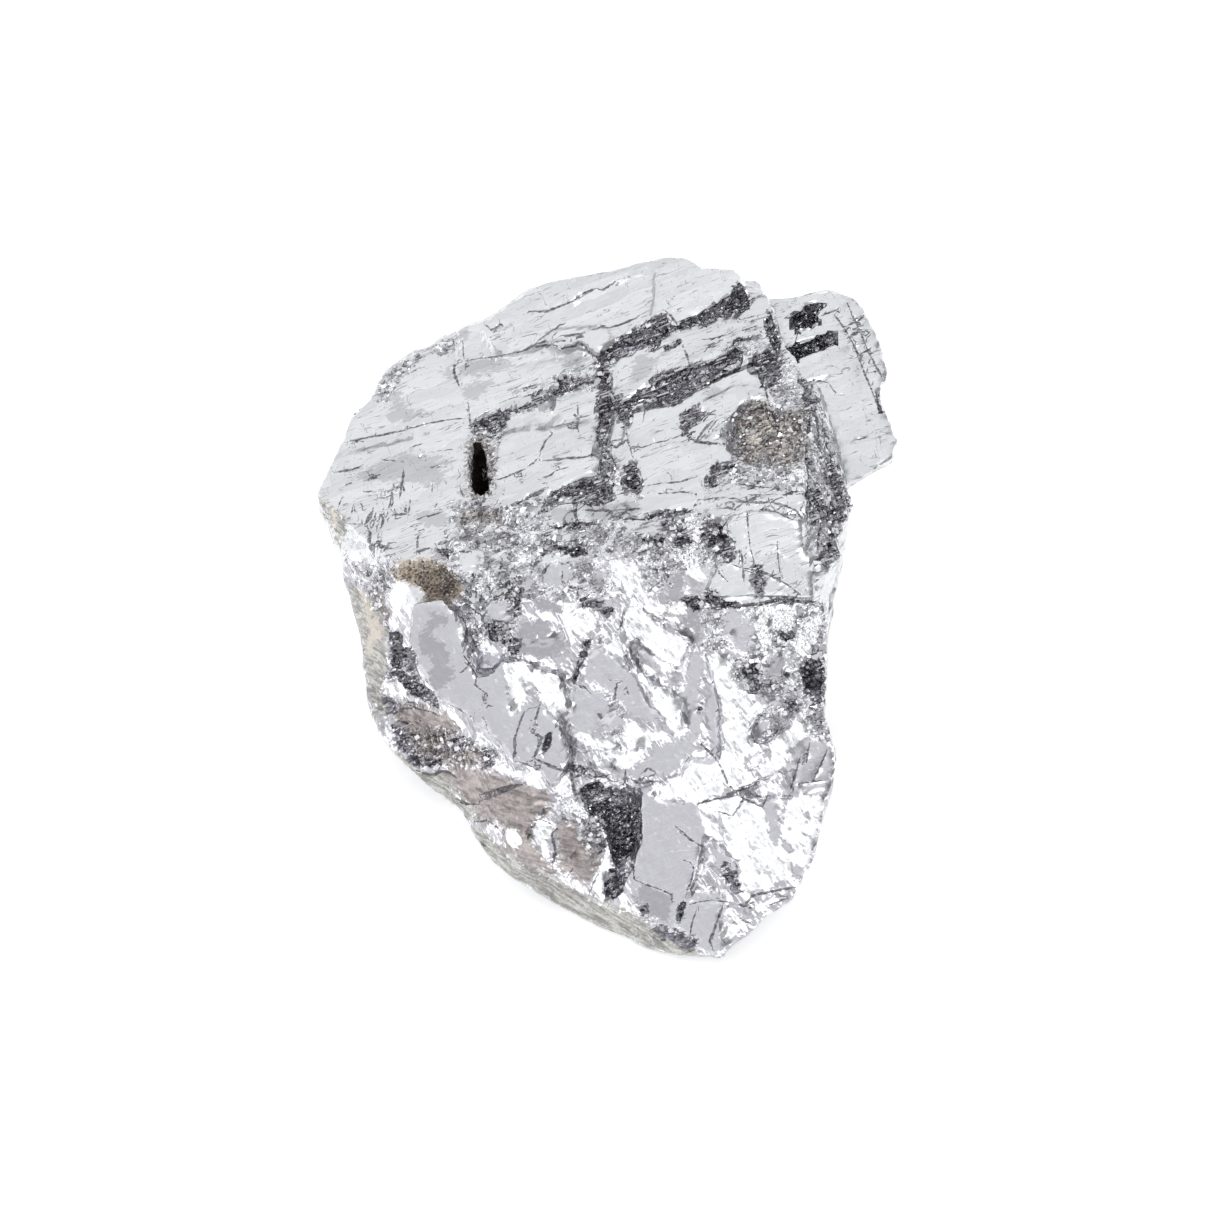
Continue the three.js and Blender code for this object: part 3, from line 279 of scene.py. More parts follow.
# smooth grey faces of the lower half
greyOutlines = duskyGreys + [
    [(-12, 0.5), (-9.7, 0.7), (-9.4, -1.5), (-10.6, -1.8), (-11.8, -1.6)],
    [(-19.5, 0.2), (-16.7, 0.7), (-15.2, -0.5), (-14.5, -3.3), (-13.3, -4.1), (-11.7, -4.5), (-10.3, -5),
     (-10.1, -7.1), (-9.8, -9.3), (-9.4, -10.9), (-8.1, -9.5), (-6.7, -9.6), (-5.2, -11.1), (-3.7, -14.8),
     (-4.1, -16.5), (-5.5, -18.5), (-6.6, -16.3), (-9.5, -15.7), (-10.7, -14.3), (-14.2, -10.8),
     (-16.7, -9.3), (-18.7, -6.5), (-19.9, -3.3)],
    [(-3.6, -7.3), (-2.2, -7.9), (-0.7, -8.5), (0.3, -9.5), (1.1, -10.5), (1.5, -11.5), (0.8, -12.1),
     (-0.7, -11.5), (-1.7, -12.8), (-2.7, -12.6), (-3.5, -11.5), (-4.1, -11.1), (-3.6, -10.1),
     (-3.3, -8.8)],
    [(-1.9, -3.6), (-0.7, -4.3), (0.5, -5.3), (1.8, -6.3), (2.8, -6.5), (3.5, -7.5), (4.1, -8.8),
     (4.8, -9.8), (5.3, -11.3), (4.3, -11.5), (2.8, -10.8), (1.5, -9.8), (0.8, -8.8), (-0.7, -7.8),
     (-2.2, -7.1), (-1.7, -5.3)],
    [(8.5, -4.3), (9.3, -4.3), (9.6, -5.3), (9.3, -7.3), (8.8, -9.3), (9.3, -10.8), (9.3, -12.3),
     (8.7, -13.8), (8.3, -12.8), (8, -10.8), (7.5, -9.3), (7.9, -7.3), (8.3, -5.8)],
    [(10.3, -8.3), (10.9, -8.8), (11.3, -10.3), (11.2, -12.8), (11.5, -14.3), (11.7, -15.3),
     (11.1, -15.1), (10.5, -13.8), (10.1, -12.3), (9.8, -10.3)],
    [(4.3, -14.8), (5.3, -13.8), (6.8, -13.5), (7.8, -13.3), (8.3, -13.8), (7.8, -14.8), (7.3, -15.8),
     (6.5, -16.5), (5.3, -16.8), (3.3, -17.1), (2.3, -16.8), (3.3, -15.8)],
    [(19.3, -12.8), (20.5, -13.3), (22.1, -13.8), (22.5, -15.5), (22.1, -16.8), (22.1, -19),
     (20.8, -18.6), (19.3, -18.6), (18.3, -18.3), (17.7, -17.3), (18.1, -15.8), (18.8, -14.3)],
    [(15.9, -18.5), (16.7, -18.3), (16.9, -20.8), (17.3, -22.3), (16.8, -23.8), (16.3, -22.8),
     (16, -20.8), (15.8, -19.3)],
    [(3.3, -17.9), (4.3, -18.3), (5.1, -19.3), (6.8, -19.5), (9, -19.6), (9.3, -20.8), (9.9, -22.1),
     (9.6, -23.8), (9.1, -25.5), (8.6, -27.3), (9.3, -28.6), (11.5, -28.8), (11.7, -30.5), (11.3, -32.8),
     (11.7, -34.3), (10.5, -34.8), (9.3, -33.8), (8.3, -33.3), (6.5, -32.3), (4.3, -31.3), (2.8, -29.3),
     (2.3, -27.3), (2.1, -25.3), (2.8, -23.8), (3.3, -22.3), (3.3, -19.8)],
    [(11.5, -0.4), (13, -0.3), (13.5, -1.3), (14.7, -1.3), (14.9, -2.8), (14.5, -4.3), (12.8, -4.2),
     (12.6, -3.3), (11.6, -3.3)],
    [(13.8, -8.5), (14.7, -8.3), (15.6, -8.7), (15.8, -9.3), (15.1, -9.5), (14.1, -9.2)],
    [(16.1, -9.1), (16.8, -8.6), (17.5, -9.1), (17.7, -10.1), (16.8, -10.3)],
    [(-14.5, 5.5), (-13.1, 5.7), (-12.3, 5.4), (-12.2, 4.5), (-12.3, 3), (-13.7, 2.9), (-14.6, 3.7)],
    [(-11.3, 5.5), (-10.6, 5.6), (-10.7, 3), (-11.3, 3)],
    [(-8.5, 2.4), (-7.4, 2.5), (-7.4, 0.8), (-8.5, 0.7)],
    [(-5.9, 10), (-3.5, 10.2), (-3.2, 8.4), (-5.5, 8.2)],
    [(-3, 10.4), (-1.7, 10.5), (0.5, 10.2), (0.4, 8.8), (-2.7, 8.7)],
    [(0.6, 10.5), (3.1, 10.5), (3.4, 9.9), (3.3, 8.9), (1.5, 8.8)],
    [(3.5, 10.9), (8.3, 11.3), (9.3, 10.2), (7.8, 9.9), (4.3, 9.7)],
    [(1.5, 8.4), (3.8, 8.6), (5.4, 8.3), (5.3, 7.3), (3.3, 7.1), (1.8, 7.4)],
    [(-1, 4.2), (-0.3, 3.9), (-0.1, 2.9), (-0.7, 1.8), (-1.3, 2.4)],
    [(9.9, 3.5), (10.8, 4.1), (12.8, 4.4), (13.8, 3.7), (14.5, 2.5), (14.6, 0.9), (13.3, 0.6),
     (11.5, 0.7), (10.5, 1.5), (9.9, 2.5)],
    [(-13.7, 8.7), (-10.7, 8.2), (-11.7, 7.5), (-13.9, 7.8)],
    [(-5.1, 7.6), (-2.7, 7.7), (-2.5, 6.7), (-4.7, 6.6)],
    [(-12, 0.7), (-9.6, 0.7), (-9.5, -1.3), (-10.7, -1.1), (-11.9, -1.3)],
    [(-6.2, 4.2), (-4.7, 4.5), (-3.5, 4.1), (-3.5, 2.7), (-4.2, 1.7), (-6.2, 2.2), (-6.7, 3.2)],
    [(12.6, -21.1), (13.3, -21.5), (13.9, -22.5), (13.7, -23.1), (13.1, -22.5)],
    [(16.9, -23.1), (17.9, -23.3), (18.9, -24.3), (18.3, -24.7), (17.3, -24.1)],
    [(18.1, -25), (18.9, -25.5), (19.7, -26.5), (19.5, -27.6), (18.7, -26.7)],
    [(14.5, -11.9), (15.5, -11.3), (16.5, -11.5), (15.5, -12.5), (14.7, -13.9)],
    [(10.9, -20.5), (11.5, -20.9), (11.7, -22.3), (11.1, -21.9)],
    [(3.3, -3.9), (4.3, -4.5), (5.5, -5.7), (6.1, -6.9), (5.3, -6.9), (4.1, -5.5), (3.3, -4.7)],
    [(10.5, -24.1), (11.5, -23.6), (12.4, -24.6), (12.9, -25.9), (13.4, -27.3), (12.8, -27.3),
     (12.1, -25.9), (11.1, -26.1)],
    [(19.5, -20.8), (20.1, -20.5), (20.1, -22.3), (19.6, -22.9)],
]

# smooth patches, a shade darker than the faces around them
shadeOutlines = duskyGreys + [
    [(-17.2, 23.6), (-16.2, 24), (-15.2, 23.8), (-15.4, 23.2), (-16.7, 23.3)],
    [(-14.9, 22), (-13.7, 22.5), (-11.6, 22.8), (-12.2, 21.7), (-13.3, 20.9), (-14.4, 21.1)],
    [(-22.2, 19.8), (-20.9, 20.3), (-19.7, 20.1), (-18.5, 19.9), (-19.6, 19.1), (-21.1, 18.6),
     (-22.1, 18.9)],
    [(-4.7, 24.9), (-3.2, 25.5), (-1.8, 25.2), (-2.4, 24.3), (-3.7, 24), (-4.6, 24.4)],
    [(-23.7, 14.1), (-22.5, 14.7), (-20.7, 15.5), (-18.7, 15.4), (-16.7, 15.1), (-15.4, 14.7),
     (-15.9, 14.1), (-17.1, 14.1), (-16.1, 13.3), (-16.7, 12.6), (-18.2, 12.3), (-19.7, 12.3),
     (-21.2, 12.7), (-22.7, 12.5), (-25.5, 13.1), (-24.7, 13.9)],
    [(-22.7, 22.1), (-20.9, 21.7), (-20.5, 20.5), (-21.7, 20.6), (-22.5, 21.3)],
    [(-5.9, 10), (-3.2, 10.2), (-3.1, 8.3), (-5.5, 8.2)],
    [(-2.2, 10.7), (0.5, 10.5), (1.8, 10.7), (3.3, 10.4), (3.3, 9.2), (0.5, 8.5), (-2.2, 8.7)],
    [(2.3, 24.2), (3.3, 25.5), (4.8, 25.2), (6.1, 26.2), (5.5, 24.9), (4.5, 23.9), (3.3, 22.7),
     (2.5, 22.9)],
    [(9.3, 21.7), (10.8, 22.3), (11.5, 21.7), (10.5, 20.9), (9.7, 20.9)],
    [(-14.9, 11.7), (-14.1, 12.9), (-14, 11.5), (-14.7, 11.1)],
    [(-15.7, 27.7), (-14.5, 28.2), (-13.7, 27.5), (-14.5, 26.9), (-15.5, 27.1)],
    [(-15.5, 24.5), (-13.7, 24.9), (-10.7, 25.1), (-9.2, 24.5), (-12.7, 23.5), (-14.7, 23.3)],
    [(-17.6, -0.5), (-16.9, -0.6), (-15.9, -1), (-16.3, -2.1), (-16.9, -1.7), (-17.4, -2.3),
     (-17.6, -3.3), (-16.6, -3.5), (-15.8, -4.8), (-16.1, -5.5), (-15.1, -6.1), (-15.5, -7.3),
     (-16.7, -8.3), (-17.7, -7.9), (-17.6, -5.5), (-18.5, -4.5), (-18.8, -3.5), (-18.5, -2.5),
     (-17.7, -1.8)],
    [(-3.7, 3.3), (-1.7, 3.7), (-0.1, 2.7), (-0.7, 1.7), (-2.2, 1.7), (-3.2, 2.1)],
    [(20.8, 17.7), (21.4, 18.2), (22.2, 16.7), (22.5, 13.7), (22.2, 12.2), (21.5, 13.7), (21, 15.7)],
    [(3.3, -27.3), (5.3, -28.5), (6.5, -29.3), (6.1, -31.8), (3.8, -30.8), (2.9, -29.3)],
    [(16.8, -4.8), (17.9, -5.3), (18.5, -6.8), (16.9, -7.2), (16, -6.1)],
    [(-12.1, 5.4), (-11.5, 5.4), (-11.4, 3.2), (-12.1, 3.1)],
    [(-19.4, 9.1), (-18.2, 9.5), (-16.7, 9.6), (-15.8, 9.2), (-16.1, 8.5), (-16.7, 8.1), (-17.7, 8),
     (-18.9, 8.6)],
    [(-26, 6.7), (-24.7, 6.6), (-24.3, 6.2), (-24.5, 6), (-25.9, 6.1)],
    [(-21, -4.8), (-19.8, -4.7), (-19.7, -6.1), (-20.7, -6.4)],
]

# crushed, glittering ground
crushedOutlines = [
    [(-23.5, 20.9), (-22.3, 23.9), (-20.9, 24.7), (-19.3, 25.5), (-17.9, 26.4), (-16.7, 27.1),
     (-15.1, 27.6), (-14.9, 26.8), (-16.4, 26.2), (-17.7, 25.5), (-19, 24.5), (-20.4, 23.7),
     (-21.5, 22.7), (-22.5, 20.9)],
    [(-17.7, 5.5), (-15.5, 7.5), (-15.5, 10.2), (-13.7, 10.9), (-10.7, 10.1), (-7.7, 10.7), (-5.9, 9.9),
     (-5.5, 7.9), (-2.2, 8.3), (1.3, 8.3), (4.3, 8.7), (7.8, 9.1), (9.8, 9.5), (11.7, 8.7), (12.1, 6.7),
     (12.9, 5.1), (10.8, 4.1), (8.3, 3.5), (5.3, 4.1), (1.3, 5.1), (-2.2, 4.7), (-6.7, 5.1), (-10.7, 4.1),
     (-13.7, 3.5), (-16.2, 4.1)],
    [(-15.2, 3.2), (-10.7, 4.1), (-6.7, 4.7), (-0.7, 4.7), (1.8, 2.2), (-0.2, 0.7), (-4.7, 1.1),
     (-8.7, 0.7), (-9.2, -3.3), (-10.7, -3.3), (-12.7, -1.8), (-14.4, -0.5)],
    [(3.3, 5.2), (5.8, 5.4), (7.1, 4.1), (6.5, 2.5), (5.7, 1.4), (4.5, 1.5), (3.6, 3.5)],
    [(-0.7, 13.7), (0.5, 12.2), (3.3, 10.7), (1.8, 13.7), (0.5, 15.2)],
    [(9.9, 12.7), (12.8, 14.1), (15.8, 13.9), (19.8, 14.5), (19.9, 11.7), (16.3, 11.9), (12.8, 12.1)],
    [(12.6, 14.7), (16.3, 13.7), (19.3, 13.9), (19.6, 15.5), (20.5, 20.2), (19.3, 20.7), (16.1, 20.7),
     (13.5, 20.1), (11.5, 17.5)],
    [(11.3, 25.9), (13.3, 26.9), (15.1, 27.7), (16.1, 26.2), (15.1, 25.1), (13.1, 25.5)],
    [(15.8, 21.7), (17.5, 25.5), (19.1, 23.5), (19.6, 20.9), (18.3, 19.7), (16.1, 20.2)],
    [(-26.2, 4.7), (-21.2, 4.7), (-20.7, 3.5), (-21.5, 2.2), (-22.3, 0.7), (-21.9, -2.5), (-23.1, -3.3),
     (-23.9, -0.5), (-25.5, 2.7)],
    [(8.3, 0.7), (11.3, 0.2), (11.5, -3.8), (9.8, -4.3), (9.3, -3.3)],
    [(14.5, 0.2), (21.5, 0.5), (21.7, -5.5), (18.8, -4.8), (16.3, -4.8), (14.5, -4.3)],
    [(12.8, -5.3), (15.8, -4.8), (19.3, -6.5), (19.9, -9.8), (18.3, -9.8), (16.3, -8.8), (13.8, -8.3)],
    [(14.5, -10.5), (17.1, -10.1), (19.3, -10.9), (16.3, -13.3), (14.5, -13.5)],
    [(18.8, -9.8), (21.5, -9.8), (22.1, -13.5), (20.5, -12.1)],
    [(-0.9, -8.3), (1.8, -10.5), (1.5, -12.8), (-0.7, -11.7)],
    [(-13.7, 17.5), (-11.9, 18.2), (-10.5, 17.9), (-11.3, 16.9), (-11.5, 11.2), (-13.3, 10.9),
     (-14.1, 13.7)],
    [(-5.2, 23.5), (-3.2, 23.9), (-0.9, 23.5), (-0.7, 22.3), (-3.5, 21.5), (-5.9, 21.3)],
    [(19.9, 21.5), (21.1, 20.9), (22.1, 17.7), (23.1, 13.7), (23.8, 10.7), (23.1, 6.7), (21.9, 4.7),
     (20.5, 6.7), (19.9, 12.7), (19.7, 17.7)],
    [(-20.7, -12.8), (-16.7, -12.3), (-13.2, -13.5), (-10.9, -14.8), (-11.2, -16.1), (-13.7, -15.7),
     (-16.7, -16.1), (-19.2, -15.9)],
    [(-14.5, -0.5), (-12.1, -1.5), (-12.1, -3.3), (-12.9, -4.1), (-13.7, -2.9)],
    [(-5.1, -18.8), (-0.7, -18.8), (0.1, -24.3), (-1.2, -26.3), (-3.2, -22.3), (-4.9, -21.5)],
    [(3.3, -29.8), (6.5, -31.8), (9.3, -33.8), (8.3, -34.6), (5.3, -33.8), (3.3, -32.3)],
]

# torn ground, darker partly as painted shade of its rough small crystals
tornOutlines = [
    [(-13.7, 18.3), (-12.4, 19), (-10.7, 19.7), (-10.3, 18.8), (-10.2, 17.8), (-11, 18.4), (-11.9, 17.8),
     (-12.6, 18.3), (-13.3, 17.8)],
    [(-7.5, 21.1), (-7, 21.6), (-6.1, 21.7), (-5.9, 21.1), (-6.6, 20.6), (-7.3, 20.6)],
    [(-10.4, 19.5), (-9.9, 19.8), (-9.2, 19.9), (-8.5, 20.2), (-7.7, 20.5), (-7.1, 20.5), (-7.9, 19.9),
     (-9.2, 19.6), (-10.1, 19.1)],
    [(-5.5, 21.6), (-5.1, 22.3), (-4.7, 22.9), (-4.1, 23.3), (-3.6, 22.9), (-4.4, 22.1), (-4.9, 21.5)],
    [(-1, 24.9), (-0.4, 24.1), (0, 23.1), (0.2, 21.9), (0.6, 21.1), (1, 20.5), (1.4, 21.2), (2, 21),
     (0.9, 19.4), (0.3, 18.9), (-0.1, 18.1), (-0.3, 17.3), (-0.2, 16.5), (0.2, 15.5), (0.6, 14.5),
     (0.7, 13.3), (0, 14.4), (-0.5, 15.7), (-0.8, 16.7), (-0.9, 17.9), (-0.8, 19.2), (-1, 20.5),
     (-1.2, 21.1), (-0.7, 21.7), (-0.9, 22.9), (-1.4, 24.1)],
    [(-6.2, 10.4), (-5.1, 11.6), (-3.9, 12), (-2.7, 12.5), (-1.7, 12.9), (-0.7, 13.3), (-0.4, 14.9),
     (0.2, 13.9), (0.6, 12.7), (0.7, 10.7), (-0.1, 10.3), (-1.7, 10.4), (-3.2, 10.8), (-4.4, 11),
     (-5.4, 10.1), (-6.4, 9.4), (-6.6, 10.1)],
    [(-0.9, 25.1), (0.5, 26.5), (1.8, 27.3), (2.9, 27.9), (4.3, 29), (5.3, 29.6), (6.1, 28.9),
     (6.6, 27.9), (5.8, 27.2), (5.1, 26.4), (4.5, 25.7), (3.8, 26.5), (2.5, 25.9), (1.1, 25), (0.1, 24.5),
     (-0.7, 24.1)],
    [(1.4, 20.5), (2.3, 21.1), (3.3, 21.6), (4.3, 22.3), (5, 23), (6.1, 23.7), (7.3, 23.9), (8.3, 24.1),
     (9.3, 24.6), (10.1, 24.2), (11.1, 25), (12.1, 25.5), (13.1, 25.9), (13.5, 25.4), (13.1, 24.7),
     (12.6, 24.3), (11.7, 23.7), (10.8, 22.9), (9.9, 22.3), (9.3, 21.9), (8.3, 21.7), (7.5, 20.9),
     (6.6, 20.2), (5.7, 20.3), (4.8, 20.9), (3.3, 20.4), (2.3, 19.8), (2.3, 18.9), (1.7, 18.1),
     (1.2, 19.5)],
    [(14.5, 24.9), (15.3, 25.4), (16.1, 25.7), (16.8, 25.4), (17.6, 25.5), (17.3, 24.5), (17, 23.3),
     (16.7, 22.3), (16.1, 21.6), (15.7, 22.5), (15.3, 23.7), (14.7, 24.1)],
    [(7.3, 18.7), (7.6, 19.5), (8.3, 19.9), (9, 20.3), (9.3, 19.7), (9.8, 19.5), (8.9, 18.5), (8.3, 17.7),
     (8.5, 17.1), (8.1, 16.8), (7.6, 17.3)],
    [(1.7, 13.9), (2.3, 14.2), (3, 14.3), (3.1, 13.2), (3.4, 12.2), (3.1, 11.4), (2.3, 11.7), (1.8, 11.7),
     (1.6, 12.7)],
    [(9.7, 12.9), (10.3, 13.7), (10.9, 14.4), (11.5, 14.1), (12.1, 14.5), (12.7, 14.7), (12.8, 13.9),
     (11.9, 13.3), (11.1, 12.9), (10.9, 11.9), (10.1, 11.8), (9.7, 12.4)],
    [(19.3, 22.9), (20.5, 22.3), (21, 21.1), (20.5, 19.5), (20.1, 16.7), (20.2, 13.7), (19.7, 14.7),
     (19.9, 19.7)],
    [(19.9, 12.7), (20.9, 12.1), (21.5, 10.9), (21.3, 8.7), (20.5, 7.7), (19.9, 9.5)],
    [(21.9, 9.9), (23.5, 10.5), (24.1, 9.5), (23.5, 7.9), (22.7, 6.9), (22.9, 4.9), (21.7, 3.5),
     (21.1, 5.1), (21.9, 6.9)],
    [(21.7, 12.7), (22.5, 15.5), (23.3, 13.7), (23.9, 11.7), (24.3, 9.9), (23.1, 10.2)],
    [(9.6, 8.6), (10.8, 8.8), (11.5, 7.7), (12.1, 6.7), (12.8, 5.1), (12.3, 4.4), (10.8, 5.4), (9.8, 6.1),
     (9.3, 7.2)],
    [(14.6, 4.1), (15.2, 4.1), (15.6, 2.7), (15.4, 1.1), (14.8, 1), (14.6, 2.3)],
    [(9.8, 1.6), (10.5, 1.7), (11.4, 0.9), (10.5, 0.6), (9.7, 0.8)],
    [(7.6, 0.9), (8.8, 1.2), (9.5, 0.7), (9.3, -0.3), (8.3, 0)],
    [(-2.5, 0.9), (-0.7, 0.5), (0.5, -0.3), (0.1, -1.1), (-1.2, -0.3), (-2.3, 0.1)],
    [(-22.3, -6.4), (-21.6, -6.5), (-20.7, -6.5), (-19.5, -7), (-18.3, -7.6), (-19.5, -7.5),
     (-20.7, -7.5), (-22.3, -7.3)],
    [(-16.7, -13.5), (-15.2, -13.1), (-13.9, -13.4), (-13.4, -14.1), (-14.7, -14.5), (-16.2, -14.3)],
    [(-19.5, -14.8), (-18.6, -15.8), (-19.2, -16.2), (-19.9, -15.3)],
    [(-13.2, -14.3), (-12.1, -14.4), (-11.8, -15.8), (-12.5, -16.1), (-12.9, -15)],
    [(-17.8, -14.3), (-16.7, -13.9), (-16.6, -14.9), (-17.6, -14.9)],
    [(-18.2, -15.3), (-17, -15.1), (-16.9, -16.3), (-17.9, -16.3)],
    [(-21.7, -12.1), (-20.3, -12.5), (-18.9, -13.7), (-19.3, -14.6), (-20.5, -14.5), (-21.3, -13.7)],
    [(-14.4, 1.6), (-13.8, 1.7), (-13.7, 0.7), (-14.3, 0.6)],
    [(-9.5, 1.8), (-8.8, 1.7), (-8.7, 0.5), (-9, -0.9), (-9.5, -0.5)],
    [(-6.6, 6.3), (-5.5, 6), (-5.6, 5.1), (-6.6, 5.2)], [(-5.2, 8.3), (-3.2, 8.5), (-3.1, 8), (-5.1, 7.9)],
    [(5.5, 8.6), (6.5, 8.9), (7.5, 8.7), (7.7, 7.5), (6.9, 7.4), (5.7, 7.7)],
    [(8.9, -9.6), (9.3, -9.3), (9.5, -10.3), (9, -10.5)],
    [(17.8, -9.3), (18.9, -9.5), (19.3, -10.2), (18.1, -10.2)],
    [(14.3, -7.5), (15.1, -7.3), (15.3, -8.3), (14.5, -8.5)],
    [(-10.2, 7.5), (-9.2, 7.6), (-8.9, 6.2), (-10, 6.1)],
    [(-6.7, 7.3), (-5.5, 7.4), (-5.2, 6.2), (-6.5, 6)],
    [(3.6, 7.1), (4.8, 7.2), (5.7, 6.7), (5.3, 6.2), (4.1, 6.3), (3.2, 6.6)],
    [(6.6, 7), (7.8, 7), (8.4, 6.5), (7.5, 6), (6.8, 6.4)],
    [(0.5, -26.1), (1.7, -25.6), (2.1, -26.5), (1.7, -27.3), (0.9, -28.1), (0.6, -29.3), (-0.2, -29.3),
     (-0.1, -28.3), (0.3, -27.3)],
    [(-0.1, -18.2), (0.7, -18), (2.1, -18), (2.2, -19.6), (1.3, -19.9), (0.1, -19.3)],
    [(2.4, -19.9), (3.2, -20.3), (3.2, -22.3), (2.7, -24.3), (2.4, -24.5), (2.6, -22.5)],
    [(-1.7, -22.2), (-0.4, -22.3), (-0.3, -24), (-0.7, -24.9), (-1.3, -23.9), (-1.8, -23)],
    [(-20.7, -4.3), (-19.5, -4.3), (-19.3, -5.5), (-19.7, -6.9), (-20.5, -6.1)],
    [(19.8, -5.3), (20.8, -4.6), (21.6, -6.5), (21.7, -9.5), (20.8, -9.9), (19.9, -8.3), (19.4, -6.8)],
    [(13.5, -6.1), (14.3, -5.6), (15.1, -6.1), (14.8, -7.3), (13.8, -6.9)],
    [(11.5, -25.5), (12.1, -25.4), (12.7, -26.7), (13.4, -28.4), (13, -28.8), (12.2, -27.7)],
    [(3.3, -29.7), (4.3, -29.8), (4.1, -31.1), (3.3, -30.8)],
    [(4.5, -31.7), (5.9, -32), (7.3, -32.8), (8.5, -33.1), (9.1, -33.9), (8.3, -34.6), (7.3, -34.3),
     (6.1, -33.4), (4.7, -32.7)],
    [(-22.7, -9.3), (-21.5, -9.5), (-20.9, -10.5), (-21.9, -10.7)],
]

# sunk or shadowed places that hardly any light leaves, painted dark: painted shade
darkOutlines = [
    [(12.6, 31.5), (13.1, 32.7), (13.5, 32.3), (13.9, 31.7), (14.2, 30.7), (14.3, 30), (12.8, 29.6),
     (11.3, 29.2), (9.9, 28.2), (9.3, 28.5), (8.3, 28.2), (7.7, 27.9), (6.9, 28.1), (7.3, 28.7),
     (8.3, 29), (9.3, 29.3), (9.8, 29.8), (10.9, 30.4), (11.6, 30.9), (12.4, 31.2)],
    [(5.7, 26.2), (6.5, 26.5), (7.4, 26.9), (7.4, 26.6), (6.6, 26.1), (5.8, 25.8)],
    [(15.8, 28.5), (16.1, 29.8), (16.5, 29.6), (16.9, 28.5), (16.9, 27.9), (17.5, 27.1), (17.5, 26.2),
     (17, 25.5), (16.5, 26.2), (16.1, 27.2)],
    [(-2.7, -18.3), (-1.9, -17.7), (-1.1, -17.5), (-0.4, -17.9), (-0.2, -18.7), (-0.7, -19.3),
     (-1.5, -19.2), (-2.3, -19.1)],
    [(-1.9, -19.9), (-0.9, -19.5), (-0.1, -19.2), (0.4, -19.6), (0.2, -20.9), (-0.7, -20.6), (-1.7, -21)],
    [(0.1, -19.6), (0.9, -19.8), (1.9, -19.9), (2.7, -19.9), (3.4, -20.4), (3, -20.9), (2.4, -20.6),
     (2.2, -22.1), (3, -22.5), (2.7, -24.1), (2.3, -24.5), (1.7, -25), (1.3, -25.7), (0.9, -26.2),
     (0.5, -25.1), (0.7, -24.1), (0.5, -23.1), (-0.1, -22.3), (-0.3, -21.1)],
    [(-1.1, -21.4), (-0.4, -21.3), (-0.3, -22.1), (-0.9, -22.1)],
    [(19.6, -6.1), (20.6, -5.3), (21.3, -5.5), (21.5, -7.7), (20.5, -8.3), (19.5, -7.5)],
    [(16.9, -2.6), (17.9, -2.5), (18.7, -2.4), (18.6, -3.2), (17.8, -3.4)],
    [(17.6, -6.5), (18.4, -6.7), (17.9, -7.2)],
    [(14.4, -5.7), (15.3, -5.7), (15, -6.1), (14.9, -6.6), (14.4, -6.6)],
    [(12.9, -6.6), (14, -7.2), (13.2, -7)],
    [(-20.7, -7.6), (-19.5, -7.5), (-18.5, -7.9), (-17.6, -8.5), (-17.1, -9.3), (-16.9, -10.2),
     (-17.9, -9.6), (-19.2, -9), (-20.3, -8.3)],
    [(3.3, 6.9), (4.5, 7.1), (5.6, 7), (5.5, 6.4), (4.3, 6.3)],
    [(6.9, 6.9), (8, 7), (8.3, 6.5), (8.1, 6.2), (7.1, 6.3)],
    [(3.9, 9.3), (5, 9.6), (7.6, 9.7), (8.2, 9.5), (6.5, 9.1), (5.3, 8.9), (3.9, 8.7)],
    [(7.6, 1), (8.3, 1.1), (9.2, 0.9), (9.4, 0.1), (8.9, -0.3), (8.3, 0.1)],
    [(9.7, 1.5), (10.4, 1.6), (10.9, 0.9), (11.9, 0.5), (13.3, 0.4), (13.2, -0.2), (12.3, 0), (10.9, 0),
     (9.9, 0.5)],
    [(16.1, 0.7), (18.5, 0.8), (18.4, 0.3), (16.8, 0.4)],
    [(10.4, 8.5), (11.1, 8.6), (11.4, 8), (11.1, 7.5), (10.7, 7.7)],
    [(10.5, 7.1), (11.3, 7.4), (12, 6.8), (11.1, 6.6), (10.7, 6), (10.2, 6.5)],
    [(-21.9, -2.7), (-21.1, -2.5), (-20.6, -2.9), (-20.8, -4.3), (-20.4, -5.1), (-20.9, -6.3),
     (-21.6, -6.2), (-22, -5.3), (-21.8, -4.1)],
    [(-12.2, -1.7), (-11.2, -1.7), (-10.9, -3.3), (-11.5, -3.4), (-12, -2.5)],
    [(-10.8, -2), (-10.4, -2), (-10.2, -3.8), (-10.7, -3.3)],
    [(-9.9, -3.4), (-9.2, -3.1), (-8.6, -3.9), (-9.1, -4.8), (-9.9, -4.2)],
    [(-5.4, 6), (-4.5, 6.1), (-2.7, 5.9), (-1.9, 5.4), (-3.2, 5), (-4.7, 5.5)],
    [(-2.3, -3.3), (-1.7, -2.9), (-1.8, -4.1), (-2.3, -5.3), (-2.9, -6.7), (-3.3, -7.7), (-3.4, -6.9),
     (-2.9, -5.7), (-2.7, -4.3)],
    [(-6, -12.8), (-5.5, -12.4), (-5.7, -13.8), (-6.4, -14.9), (-6.5, -14.1)],
    [(7.4, -29.5), (7.9, -29.5), (7.7, -30.5), (7.3, -31.6), (7, -31.4), (7.1, -30.3)],
    [(-3.6, -15.9), (-2.9, -15.8), (-1.9, -16.3), (-2.3, -16.6), (-3.3, -16.4)],
]
